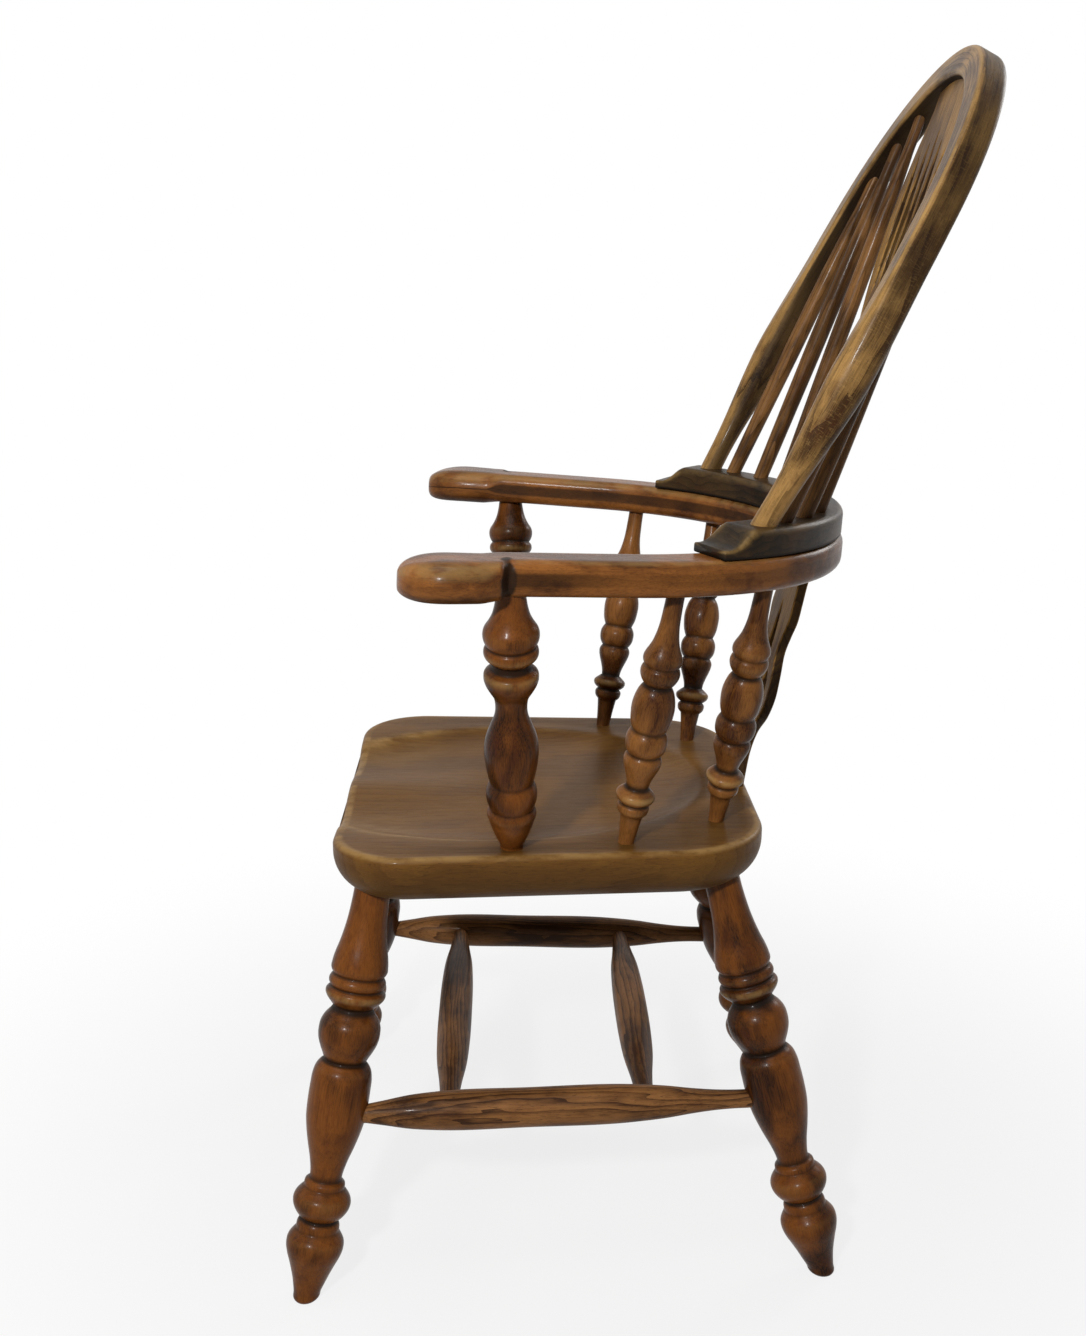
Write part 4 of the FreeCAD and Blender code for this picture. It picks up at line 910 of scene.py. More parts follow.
def crest_piece(sizes, material, seed):
    """The crest: a ring sector whose ends fall in a cove to a thin lip. A row lies along a radius."""
    middle_radius = (sizes.crest_inner + sizes.crest_outer) / 2
    turns = np.linspace(sizes.crest_end, math.pi - sizes.crest_end, CREST_ROWS)
    from_end = np.minimum(turns - sizes.crest_end, math.pi - sizes.crest_end - turns) * middle_radius
    height = np.where(from_end < CREST_END[-1][0] * MM, through(CREST_END, from_end / MM) * MM,
                      sizes.crest_thickness)
    half = np.full(CREST_ROWS, (sizes.crest_outer - sizes.crest_inner) / 2)
    upper = np.minimum(CREST_ROUND, LIP_ROUND * height)
    section, edge = soft_section(half, height / 2, upper, np.full(CREST_ROWS, CREST_SEAM))
    radius = middle_radius + section[..., 0]
    x = radius * np.cos(turns)[:, None]
    y = sizes.middle_y + radius * np.sin(turns)[:, None]
    up = sizes.thickness + height[:, None] / 2 + section[..., 1]
    flat = np.stack([x, y, up], axis=-1)
    grain = np.stack([up, y, x], axis=-1) + blank_offset(seed)
    # Painted shade along the seam where the crest sits on the arms
    seam = smoothstep(-section[..., 1], height[:, None] / 2 - SEAM_SHADE_HEIGHT, height[:, None] / 2)
    # The lip lightens in part by wear and in part as a painted highlight
    lip = (1 - smoothstep(from_end, *LIP_ENDS))[:, None] * (section[..., 1] > 0)
    worn = edge * CREST_WEAR_LIGHT_AND_SHADE["edge"] + CREST_WEAR_LIGHT_AND_SHADE["lip"] * lip - CREST_WEAR_LIGHT_AND_SHADE["seam"] * seam
    worn = np.clip(worn, -1, 1)
    vertices, faces = closed_skin(on_bow(flat, sizes))
    add_piece("arm_crest", vertices, faces, with_ends(grain), with_ends(worn), material)


# Points on each corner and on each straight side of the seat's outline
CORNER_POINTS = 20
SIDE_POINTS = 36


def rounded_outline(corners):
    """Points and outward directions round an outline of straight edges and tangent corner arcs.

    Corners are (x, y, radius), counter-clockwise.
    """
    arcs, directions = [], []
    count = len(corners)
    for index, (x, y, radius) in enumerate(corners):
        here = np.array([x, y])
        back = unit(np.array(corners[index - 1][:2]) - here)
        onward = unit(np.array(corners[(index + 1) % count][:2]) - here)
        half_angle = math.acos(back @ onward) / 2
        middle = here + unit(back + onward) * radius / math.sin(half_angle)
        start = here + back * radius / math.tan(half_angle) - middle
        end = here + onward * radius / math.tan(half_angle) - middle
        first = math.atan2(start[1], start[0])
        sweep = (math.atan2(end[1], end[0]) - first) % FULL_TURN
        turns = first + np.linspace(0, 1, CORNER_POINTS) * sweep
        ray = np.stack([np.cos(turns), np.sin(turns)], axis=-1)
        arcs.append(middle + radius * ray)
        directions.append(ray)
    points, outward = [], []
    for index, (here, ray) in enumerate(zip(arcs, directions)):
        following = arcs[(index + 1) % count]
        steps = np.linspace(0, 1, SIDE_POINTS + 2)[1:-1, None]
        points += [here, here[-1] + (following[0] - here[-1]) * steps]
        outward += [ray, np.broadcast_to(ray[-1], (SIDE_POINTS, 2))]
    return np.concatenate(points), np.concatenate(outward)


# Width of the bowl's wall and the square of its rim's softness, as in_bowl measures them
BOWL_WALL = 0.20
BOWL_LIMIT = 0.0016
# In metres: how far forward the pommel and the leg hollows begin and are full, the pommel's width,
# and the hollows' depth, place to each side and width
PARTING = (0.10, 0.27)
POMMEL_WIDTH = 0.042
HOLLOW_DEPTH = 0.0042
HOLLOW_PLACE = 0.105
HOLLOW_WIDTH = 0.062


def in_bowl(x, y, sizes):
    """1 in the middle of the seat's bowl, 0 on its rim and less outside: 1 - (x / a)^2 - (y / c)^2."""
    return 1 - (x / sizes.dish_half_width) ** 2 - ((y - sizes.dish_middle) / sizes.dish_half_length) ** 2


def dished(x, y, sizes):
    """How far the seat's top lies below its rim: a bowl, two shallow leg hollows and a pommel.

    With b as in_bowl gives it, the bowl is d (1 - e^(-b / w)), which gives it a steep wall and a
    level floor. It runs out at the rim through a soft limit at b = 0.
    """
    bowl = in_bowl(x, y, sizes)
    inside = (bowl + np.sqrt(bowl ** 2 + BOWL_LIMIT)) / 2
    depth = sizes.dish_depth * (1 - np.exp(-inside / BOWL_WALL))
    towards_front = smoothstep(-y, *PARTING)
    ridge = sizes.pommel * np.exp(-(x / POMMEL_WIDTH) ** 2) * towards_front
    leg_hollows = HOLLOW_DEPTH * np.exp(-((np.abs(x) - HOLLOW_PLACE) / HOLLOW_WIDTH) ** 2) * towards_front
    return np.maximum(depth - ridge, 0) + leg_hollows


SEAT_TOP_ROWS = 90
SEAT_ROUND_ROWS = 9
SEAT_SIDE_ROWS = 5
SEAT_UNDER_ROWS = 18
SEAT_BOTTOM_ROWS = 14
# Share of the outline at which the rows start on top, and at which they end below
SEAT_FIRST = 0.01
SEAT_LAST = 0.02
# Shares of wear and painted light on the top's rim, down the side, round and below the plank, and on the
# top: the rim's lightening is in part a painted highlight, and the side, the round below and the bottom get
# darker downwards as painted shade
SEAT_WEAR_LIGHT_AND_SHADE = {"rim": 0.8, "side": (-0.1, -0.25), "under": (-0.25, -0.5), "bottom": -0.5,
             "bowl_rim_rub_and_highlight": 0.55, "thighs": 0.45, "outside": 0.30}
# The share of the outline where the rim's lightening, in part wear and in part a painted highlight, begins
# and is full
RIM_RUB_AND_HIGHLIGHT = (0.975, 1.0)
# The light line round the bowl, in part rubbed and in part a painted highlight: its width as in_bowl
# measures it, and where it begins forwards
BOWL_RIM_WIDTH = 0.07
BOWL_RIM_STARTS = (-0.04, 0.1)
# What thighs rub, in metres: the place to each side, its width, and where it begins forwards
THIGH_PLACE = 0.12
THIGH_WIDTH = 0.07
THIGH_STARTS = (0.12, 0.24)
# The dull band: how far outside the bowl it begins, and the share of the outline where it ends
OUTSIDE_STARTS = (0.05, 0.3)
OUTSIDE_ENDS = (0.95, 1.0)


def seat_wear_light_and_shade(plan, shares, quarter, sizes):
    """Wear and painted light of each row of the seat: a partly painted highlight on the rim, painted shade
    darkening down the side and below, and what sitters have rubbed on the rows of its top.

    Round the bowl's rim and under each thigh it is a bell, e^(-u^2), of the distance over a width.
    Outside the bowl a dull band is taken off.
    """
    # The rim's rows lighten, in part as wear and in part as a painted highlight; the side, round and bottom
    # rows darken downwards as painted shade
    rows = np.concatenate([smoothstep(shares, *RIM_RUB_AND_HIGHLIGHT) * SEAT_WEAR_LIGHT_AND_SHADE["rim"], np.cos(quarter[:, 0]),
                           np.linspace(*SEAT_WEAR_LIGHT_AND_SHADE["side"], SEAT_SIDE_ROWS),
                           np.linspace(*SEAT_WEAR_LIGHT_AND_SHADE["under"], SEAT_UNDER_ROWS),
                           np.full(SEAT_BOTTOM_ROWS, SEAT_WEAR_LIGHT_AND_SHADE["bottom"])])
    worn = np.broadcast_to(rows[:, None], plan.shape[:2]).copy()
    top = worn[:SEAT_TOP_ROWS]
    x, y = np.moveaxis(plan[:SEAT_TOP_ROWS], -1, 0)
    bowl = in_bowl(x, y, sizes)
    # The light line round the bowl is in part rubbed and in part a painted highlight
    top += SEAT_WEAR_LIGHT_AND_SHADE["bowl_rim_rub_and_highlight"] * np.exp(-(bowl / BOWL_RIM_WIDTH) ** 2) * smoothstep(-y, *BOWL_RIM_STARTS)
    thighs = np.exp(-((np.abs(x) - THIGH_PLACE) / THIGH_WIDTH) ** 2) * smoothstep(-y, *THIGH_STARTS)
    top += SEAT_WEAR_LIGHT_AND_SHADE["thighs"] * thighs
    outside = smoothstep(-bowl, *OUTSIDE_STARTS) * (1 - smoothstep(shares, *OUTSIDE_ENDS))[:, None]
    top -= SEAT_WEAR_LIGHT_AND_SHADE["outside"] * outside
    return worn


def seat_piece(sizes, material, seed):
    """The seat plank: rows of its outline, from the middle of the top over the edge to below.

    Rows shrink evenly towards the middle on the top and the bottom, and the edge between is a
    quarter circle above, a straight side and a larger quarter circle below.
    """
    corners = [(sizes.front_half, sizes.front_edge, sizes.front_corner),
               (sizes.rear_half, sizes.rear_edge, sizes.rear_corner),
               (-sizes.rear_half, sizes.rear_edge, sizes.rear_corner),
               (-sizes.front_half, sizes.front_edge, sizes.front_corner)]
    outline, outward = rounded_outline(corners)
    middle = np.array([0.0, (sizes.front_edge + sizes.rear_edge) / 2])
    top = sizes.underside + sizes.thickness
    shoulder = outline - outward * sizes.top_round
    shares = np.linspace(SEAT_FIRST, 1, SEAT_TOP_ROWS)
    top_plan = middle + (shoulder - middle) * shares[:, None, None]
    top_height = top - dished(top_plan[..., 0], top_plan[..., 1], sizes)
    edge_height = top_height[-1]
    quarter = np.linspace(0, 1, SEAT_ROUND_ROWS + 1)[1:, None] * math.pi / 2
    round_plan = shoulder + outward * (sizes.top_round * np.sin(quarter))[..., None]
    round_height = edge_height - sizes.top_round * (1 - np.cos(quarter))
    side_start = edge_height - sizes.top_round
    side_end = sizes.underside + sizes.under_round
    down = np.linspace(0, 1, SEAT_SIDE_ROWS + 1)[1:, None]
    side_height = side_start + (side_end - side_start) * down
    side_plan = np.broadcast_to(outline, (SEAT_SIDE_ROWS, *outline.shape))
    under = np.linspace(0, 1, SEAT_UNDER_ROWS + 1)[1:, None] * math.pi / 2
    under_plan = outline - outward * (sizes.under_round * (1 - np.cos(under)))[..., None]
    under_height = np.broadcast_to(side_end - sizes.under_round * np.sin(under), under_plan.shape[:2])
    inner = outline - outward * sizes.under_round
    inwards = np.linspace(1, SEAT_LAST, SEAT_BOTTOM_ROWS + 1)[1:]
    bottom_plan = middle + (inner - middle) * inwards[:, None, None]
    bottom_height = np.full(bottom_plan.shape[:2], sizes.underside)
    plan = np.concatenate([top_plan, round_plan, side_plan, under_plan, bottom_plan])
    height = np.concatenate([top_height, round_height, side_height, under_height, bottom_height])
    points = np.concatenate([plan, height[..., None]], axis=-1)
    grain = np.stack([points[..., 0], points[..., 2], points[..., 1]], axis=-1) + blank_offset(seed)
    worn = seat_wear_light_and_shade(plan, shares, quarter, sizes)
    vertices, faces = closed_skin(points)
    add_piece("seat", vertices, faces, with_ends(grain), with_ends(worn), material)


def leaning(base_y, base_z, lean, x, y, z):
    """Points of a leaning plane: x across, y up the lean and z towards the sitter, from its base."""
    back, up = math.sin(lean), math.cos(lean)
    return np.stack([x, base_y + y * back - z * up, base_z + y * up + z * back], axis=-1)


def hoop_side(sizes):
    """The middle of the hoop's long side arc, and the angle at which it reaches the foot."""
    difference = sizes.top_radius - sizes.side_radius
    middle_x = difference * math.cos(sizes.shoulder)
    middle_y = sizes.top_middle + difference * math.sin(sizes.shoulder)
    return middle_x, middle_y, -math.asin(middle_y / sizes.side_radius)


HOOP_TENON_ROWS = 8
HOOP_SIDE_ROWS = 150
HOOP_TOP_ROWS = 110


def hoop_line(sizes):
    """The hoop's middle line in its own plane, from foot to foot.

    It is x, y, the outward angle, the distance from the nearer foot and the distance along.
    """
    middle_x, middle_y, foot_angle = hoop_side(sizes)
    foot_x = middle_x + sizes.side_radius * math.cos(foot_angle)
    down = sizes.tenon * np.linspace(1, 0, HOOP_TENON_ROWS, endpoint=False)
    tenon = [foot_x + down * math.sin(foot_angle), -down * math.cos(foot_angle),
             np.full(HOOP_TENON_ROWS, foot_angle), -down]
    angle = np.linspace(foot_angle, sizes.shoulder, HOOP_SIDE_ROWS, endpoint=False)
    side = [middle_x + sizes.side_radius * np.cos(angle), middle_y + sizes.side_radius * np.sin(angle),
            angle, sizes.side_radius * (angle - foot_angle)]
    start = sizes.side_radius * (sizes.shoulder - foot_angle)
    over = np.linspace(sizes.shoulder, math.pi / 2, HOOP_TOP_ROWS)
    top = [sizes.top_radius * np.cos(over), sizes.top_middle + sizes.top_radius * np.sin(over), over,
           start + sizes.top_radius * (over - sizes.shoulder)]
    x, y, outward, distance = (np.concatenate(parts) for parts in zip(tenon, side, top))
    x = np.concatenate([x, -x[-2::-1]])
    y = np.concatenate([y, y[-2::-1]])
    outward = np.concatenate([outward, math.pi - outward[-2::-1]])
    from_foot = np.concatenate([distance, distance[-2::-1]])
    along = np.concatenate([distance, 2 * distance[-1] - distance[-2::-1]])
    return x, y, outward, from_foot, along


# Distances from a foot, in metres, over which the round leg turns into the square bar
HOOP_SQUARES = (0.13, 0.27)
# How much of the half width a round leg's rounding takes, and how much rounder the rear edges are
HOOP_SOFT = 0.97
REAR_RIDGE = 1.6
# Shares of the half depth or half width over which each part of the section begins
HOOP_FRONT = (0.72, 0.97)
HOOP_SIDE = (0.78, 0.97)
HOOP_BACK = (0.6, 0.95)
HOOP_RIDGE = (0.7, 0.95)
LEG_FRONT_LIGHT = (0.2, 0.9)
LEG_INSIDE_SHADE = (0.35, 0.95)
# Shares of each part: the ridges lighten in part by wear and in part as a painted highlight, the inner side
# darkens as painted shade with some dirt, and on a round leg the front lightens as painted light and the
# inside darkens as painted shade
HOOP_WEAR_LIGHT_AND_SHADE = {"ridge": 0.9, "outer_side": 0.50, "inner_side_dirt_and_shade": 0.70, "back": 0.35, "leg_front_light": 0.3,
             "leg_inside_shade": 0.55}


def hoop_wear_light_and_shade(outwards, forwards, edge, flat_bar):
    """Ridges lighter by rubbing and a painted highlight, dirt on the outer side and back, painted shade on
    the inner side; on round legs, painted light in front and painted shade inside.

    Each part is a share from 0 to 1 over the section. The sums for the square bar and for the
    round leg are mixed by how square the hoop is.
    """
    behind = 1 - smoothstep(forwards, *HOOP_FRONT)
    outer_side = smoothstep(outwards, *HOOP_SIDE) * behind
    inner_side_dirt_and_shade = smoothstep(-outwards, *HOOP_SIDE) * behind
    back = smoothstep(-forwards, *HOOP_BACK) * (1 - smoothstep(np.abs(outwards), *HOOP_SIDE))
    # The ridge's lightening is in part rubbed wear and in part a painted highlight
    ridge = edge * smoothstep(forwards, *HOOP_RIDGE)
    # Outer side and back: dirt; inner side: painted shade with some dirt
    dirt = (HOOP_WEAR_LIGHT_AND_SHADE["outer_side"] * outer_side + HOOP_WEAR_LIGHT_AND_SHADE["inner_side_dirt_and_shade"] * inner_side_dirt_and_shade
            + HOOP_WEAR_LIGHT_AND_SHADE["back"] * back)
    on_bar = HOOP_WEAR_LIGHT_AND_SHADE["ridge"] * ridge - dirt * (1 - ridge)
    # On a round leg: painted light on the front and painted shade on the inside
    on_leg = (HOOP_WEAR_LIGHT_AND_SHADE["leg_front_light"] * smoothstep(forwards, *LEG_FRONT_LIGHT)
              - HOOP_WEAR_LIGHT_AND_SHADE["leg_inside_shade"] * smoothstep(-outwards, *LEG_INSIDE_SHADE))
    return on_bar * flat_bar[:, None] + on_leg * (1 - flat_bar)[:, None]


def hoop_piece(sizes, material, seed):
    """The hoop: round feet grow into stout oval legs, which turn into a thinner soft square top."""
    x, y, outward, from_foot, along = hoop_line(sizes)
    grown = smoothstep(from_foot, sizes.neck, sizes.neck + sizes.taper)
    thin = smoothstep(from_foot, sizes.thin_start, sizes.thin_start + sizes.thin_length)
    width = sizes.foot + (sizes.width - sizes.foot) * grown + (sizes.top_width - sizes.width) * thin
    depth = sizes.foot + (sizes.depth - sizes.foot) * grown + (sizes.top_depth - sizes.depth) * thin
    half_across, half_deep = width / 2, depth / 2
    flat_bar = smoothstep(from_foot, *HOOP_SQUARES)
    soft = HOOP_SOFT * np.minimum(half_across, half_deep)
    front_ridge = soft + (sizes.ridge - soft) * flat_bar
    rear_ridge = soft + (REAR_RIDGE * sizes.ridge - soft) * flat_bar
    section, edge = soft_section(half_across, half_deep, front_ridge, rear_ridge)
    plane_x = x[:, None] + section[..., 0] * np.cos(outward)[:, None]
    plane_y = y[:, None] + section[..., 0] * np.sin(outward)[:, None]
    points = leaning(sizes.foot_y, sizes.foot_height, sizes.lean, plane_x, plane_y, section[..., 1])
    length_along = np.broadcast_to(along[:, None], plane_x.shape)
    grain = np.stack([section[..., 0], section[..., 1], length_along], axis=-1) + blank_offset(seed)
    outwards = section[..., 0] / half_across[:, None]
    forwards = section[..., 1] / half_deep[:, None]
    worn = hoop_wear_light_and_shade(outwards, forwards, edge, flat_bar)
    vertices, faces = closed_skin(points)
    add_piece("back_hoop", vertices, faces, with_ends(grain), with_ends(worn), material)


# Heights up each board and half widths, in millimetres
LOWER_OUTLINE = [(0, 34), (14, 26), (34, 18), (58, 24), (82, 47), (104, 55), (128, 47), (148, 37), (166, 42),
                 (184, 50), (204, 47), (222, 43), (245, 45)]
UPPER_OUTLINE = [(0, 40), (24, 31), (60, 24), (100, 27), (140, 38), (180, 57), (220, 71), (270, 77),
                 (315, 75), (350, 66), (385, 54), (412, 52)]
# Each slot's middle, lower end, upper end and half width, in millimetres
LOWER_SLOTS = [(0, 52, 196, 7), (-25, 84, 126, 7), (25, 84, 126, 7)]
UPPER_SLOTS = [(0, 64, 366, 7), (-22, 168, 356, 7), (22, 168, 356, 7), (-46, 208, 346, 7), (46, 208, 346, 7)]
# Length of a board's tenon and of a step along its edge, in millimetres, and the share of a slot's
# length at which it has its full width
SPLAT_TENON = 12
EDGE_STEP = 2.0
SLOT_SHOULDER = 0.2
BEVEL_STEPS = 4
# Shares of the rounded edge at which its dark foot, painted shade on the board's walls, ends and at which
# its rubbed part ends
BEVEL_SHADED_FOOT = 0.05
BEVEL_TOP = 0.9
SPLAT_WEAR_AND_SHADE = {"foot": -0.55, "edge": 0.4}


def outward_of(loop):
    """The unit normals on the right of a closed line: outwards when it runs counter-clockwise."""
    run = np.roll(loop, -1, axis=0) - np.roll(loop, 1, axis=0)
    run /= np.linalg.norm(run, axis=1, keepdims=True)
    return np.stack([run[:, 1], -run[:, 0]], axis=-1)


def board_outline(table):
    """A board's outline in millimetres, counter-clockwise, with a straight tenon at each end."""
    low, high = table[0][0], table[-1][0]
    places = np.linspace(low, high, int((high - low) / EDGE_STEP))
    half = through(table, places)
    places = np.concatenate([[low - SPLAT_TENON], places, [high + SPLAT_TENON]])
    half = np.concatenate([half[:1], half, half[-1:]])
    right = np.stack([half, places], axis=-1)
    left = np.stack([-half, places], axis=-1)[::-1]
    return np.concatenate([right, left])


def slot_outline(middle, start, end, half):
    """A slot with pointed ends in millimetres, clockwise: full width between its two shoulders."""
    span = end - start
    table = [(start, 0), (start + SLOT_SHOULDER * span, half), (end - SLOT_SHOULDER * span, half), (end, 0)]
    places = np.linspace(start, end, int(span / EDGE_STEP) + 2)
    across = through(table, places)
    left = np.stack([middle - across, places], axis=-1)
    right = np.stack([middle + across, places], axis=-1)[-2:0:-1]
    return np.concatenate([left, right])


def splat_piece(name, table, slots, base_y, base_z, lean, sizes, material, seed):
    """A pierced board: a rounded edge is carried round each outline, and flat faces fill between.

    The edge is a quarter circle on each face of the board, with a straight wall between them.
    """
    half = sizes.splat_thickness / 2
    bevel = sizes.splat_edge
    quarter = np.linspace(0, math.pi / 2, BEVEL_STEPS)
    inset = np.concatenate([bevel * (1 - np.sin(quarter)), bevel * (1 - np.cos(quarter))])
    depth = np.concatenate([half - bevel * (1 - np.cos(quarter)), -half + bevel * (1 - np.sin(quarter))])
    loops = [board_outline(table) * MM] + [slot_outline(*slot) * MM for slot in slots]
    points, faces, fronts, backs, base = [], [], [], [], 0
    rows = len(inset)
    for loop in loops:
        outward = outward_of(loop)
        rings = loop - outward * inset[:, None, None]
        ring = np.concatenate([rings, np.broadcast_to(depth[:, None, None], (rows, len(loop), 1))], axis=-1)
        at = base + np.arange(rows * len(loop)).reshape(rows, len(loop))
        after = np.roll(at, -1, axis=1)
        faces += np.stack([at[1:], after[1:], after[:-1], at[:-1]], axis=-1).reshape(-1, 4).tolist()
        points.append(ring.reshape(-1, 3))
        fronts.append(at[0])
        backs.append(at[-1])
        base += ring.size // 3
    flat_points = np.concatenate(points)
    walls = len(faces)
    for chosen, flip in ((fronts, False), (backs, True)):
        order = np.concatenate(chosen)
        fills = tessellate_polygon([[Vector(flat_points[index]) for index in loop] for loop in chosen])
        for fill in fills:
            corners = flat_points[order[list(fill)]]
            area = np.cross(corners[1] - corners[0], corners[2] - corners[0])[2]
            wrong = (area < 0) != flip
            face = [int(order[index]) for index in fill]
            faces.append(face[::-1] if wrong else face)
    flat_faces = np.arange(len(faces)) >= walls
    rings_in = np.concatenate([np.tile(inset[:, None], (1, len(loop))).ravel() for loop in loops])
    # The straight walls between the rounded edges get painted shade
    worn = np.where(rings_in < bevel * BEVEL_SHADED_FOOT, SPLAT_WEAR_AND_SHADE["foot"], 0.0)
    rubbed = (rings_in > bevel * BEVEL_SHADED_FOOT) & (rings_in < bevel * BEVEL_TOP)
    worn = np.where(rubbed, SPLAT_WEAR_AND_SHADE["edge"], worn)
    placed = leaning(base_y, base_z, lean, flat_points[:, 0], flat_points[:, 1], flat_points[:, 2])
    grain = np.stack([flat_points[:, 0], flat_points[:, 2], flat_points[:, 1]], axis=-1) + blank_offset(seed)
    add_piece(name, placed, faces, grain, worn, material, flat_faces)


def crest_top(y, sizes):
    """The height of the crest's top face, straight above a place behind the sitter."""
    pivot = sizes.middle_y + (sizes.inner + sizes.outer) / 2
    above = sizes.thickness + sizes.crest_thickness
    return sizes.back_height + above / math.cos(sizes.rise) - (y - pivot) * math.tan(sizes.rise)


# The first random seed of each kind of piece
SEEDS = {"legs": 0, "side_stretchers": 10, "cross_stretchers": 12, "posts": 20, "seat": 30, "arms": 40,
         "crest": 50, "hoop": 60, "sticks": 70, "splats": 80}


def nodes_like(start):
    """The names of the CAD nodes that start so, in order."""
    return sorted(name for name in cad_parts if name.startswith(start))


class CHAIR_OT_legs(bpy.types.Operator):
    """Turn the four legs"""

    bl_idname = "chair.legs"
    bl_label = "Legs"

    def execute(self, context):
        material = stained_beech(context.scene.chair_finish)
        for seed, name in enumerate(nodes_like("leg_"), SEEDS["legs"]):
            leg_piece(name, context.scene.chair_turned, material, seed)
        return {"FINISHED"}


class CHAIR_OT_stretchers(bpy.types.Operator):
    """Turn the two side stretchers and the two cross stretchers"""

    bl_idname = "chair.stretchers"
    bl_label = "Stretchers"

    def execute(self, context):
        sizes = context.scene.chair_turned
        material = stretcher_wood(context.scene.chair_finish)
        for seed, side in enumerate(SIDES, SEEDS["side_stretchers"]):
            stretcher_piece(f"side_stretcher_{side}", SIDE_BELLY, BACK, sizes, material, seed)
        for seed, name in enumerate(nodes_like("cross_stretcher_"), SEEDS["cross_stretchers"]):
            start, end = turned_axis(name, RIGHT)
            whole = np.linalg.norm(end - start) / MM + 2 * sizes.stretcher_inset / MM
            fall = [(whole - place, size) for place, size in reversed(CROSS_RISE)]
            belly = CROSS_RISE + [(whole / 2, CROSS_MIDDLE)] + fall
            stretcher_piece(name, belly, RIGHT, sizes, material, seed)
        return {"FINISHED"}


class CHAIR_OT_posts(bpy.types.Operator):
    """Turn the arm stumps and the spindles that carry the arms"""

    bl_idname = "chair.posts"
    bl_label = "Posts"

    def execute(self, context):
        finish = context.scene.chair_finish
        beech = {"arm_stump": stained_beech(finish), "side_spindle": spindle_beech(finish)}
        beech["rear_spindle"] = beech["side_spindle"]
        for seed, (kind, side) in enumerate(product(POSTS, SIDES), SEEDS["posts"]):
            post_piece(f"{kind}_{side}", POSTS[kind], context.scene.chair_turned, beech[kind], seed)
        return {"FINISHED"}


class CHAIR_OT_seat(bpy.types.Operator):
    """Shape the dished seat plank"""

    bl_idname = "chair.seat"
    bl_label = "Seat"

    def execute(self, context):
        seat_piece(context.scene.chair_seat, seat_elm(context.scene.chair_finish), SEEDS["seat"])
        return {"FINISHED"}


class CHAIR_OT_arms(bpy.types.Operator):
    """Saw and round the two arms with their broad hands"""

    bl_idname = "chair.arms"
    bl_label = "Arms"

    def execute(self, context):
        material = arm_wood(context.scene.chair_finish)
        for seed, (name, side) in enumerate(SIDES.items(), SEEDS["arms"]):
            arm_piece(f"arm_{name}", side, context.scene.chair_bow, material, seed)
        return {"FINISHED"}


class CHAIR_OT_crest(bpy.types.Operator):
    """Shape the crest and finish the screws that hold it"""

    bl_idname = "chair.crest"
    bl_label = "Crest"

    def execute(self, context):
        finish = context.scene.chair_finish
        crest_piece(context.scene.chair_bow, crest_wood(finish), SEEDS["crest"])
        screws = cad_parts["crest_screws"]
        screws.data.materials.clear()
        screws.data.materials.append(screw_steel(finish))
        return {"FINISHED"}


class CHAIR_OT_hoop(bpy.types.Operator):
    """Bend the hoop"""

    bl_idname = "chair.hoop"
    bl_label = "Hoop"

    def execute(self, context):
        hoop_piece(context.scene.chair_hoop, bent_ash(context.scene.chair_finish), SEEDS["hoop"])
        return {"FINISHED"}


class CHAIR_OT_sticks(bpy.types.Operator):
    """Shave the six sticks"""

    bl_idname = "chair.sticks"
    bl_label = "Sticks"

    def execute(self, context):
        material = stick_wood(context.scene.chair_finish)
        for seed, name in enumerate(nodes_like("back_stick_"), SEEDS["sticks"]):
            stick_piece(name, context.scene.chair_turned, material, seed)
        return {"FINISHED"}


class CHAIR_OT_splats(bpy.types.Operator):
    """Saw and pierce the two splats"""

    bl_idname = "chair.splats"
    bl_label = "Splats"

    def execute(self, context):
        seat, hoop = context.scene.chair_seat, context.scene.chair_hoop
        material = splat_wood(context.scene.chair_finish)
        seat_top = seat.underside + seat.thickness
        splat_piece("lower_splat", LOWER_OUTLINE, LOWER_SLOTS, hoop.lower_splat_y, seat_top,
                    hoop.lower_splat_lean, hoop, material, SEEDS["splats"])
        foot_z = crest_top(hoop.upper_splat_y, context.scene.chair_bow)
        reach = hoop.top_middle + hoop.top_radius - hoop.top_width / 2
        head_y = hoop.foot_y + reach * math.sin(hoop.lean)
        head_z = hoop.foot_height + reach * math.cos(hoop.lean)
        lean = math.atan2(head_y - hoop.upper_splat_y, head_z - foot_z)
        splat_piece("upper_splat", UPPER_OUTLINE, UPPER_SLOTS, hoop.upper_splat_y, foot_z,
                    lean, hoop, material, SEEDS["splats"] + 1)
        return {"FINISHED"}


# The photograph's camera: its place in metres, its angles, its focal length and picture height in
# pixels, and the sensor's longer side in millimetres
CAMERA_PLACE = Vector((1.570, -0.116, 0.985))
CAMERA_YAW = math.radians(1.20)
CAMERA_PITCH = math.radians(14.88)
CAMERA_ROLL = math.radians(0.12)
FOCAL_PIXELS = 1572
IMAGE_HEIGHT = 1336
SENSOR = 36


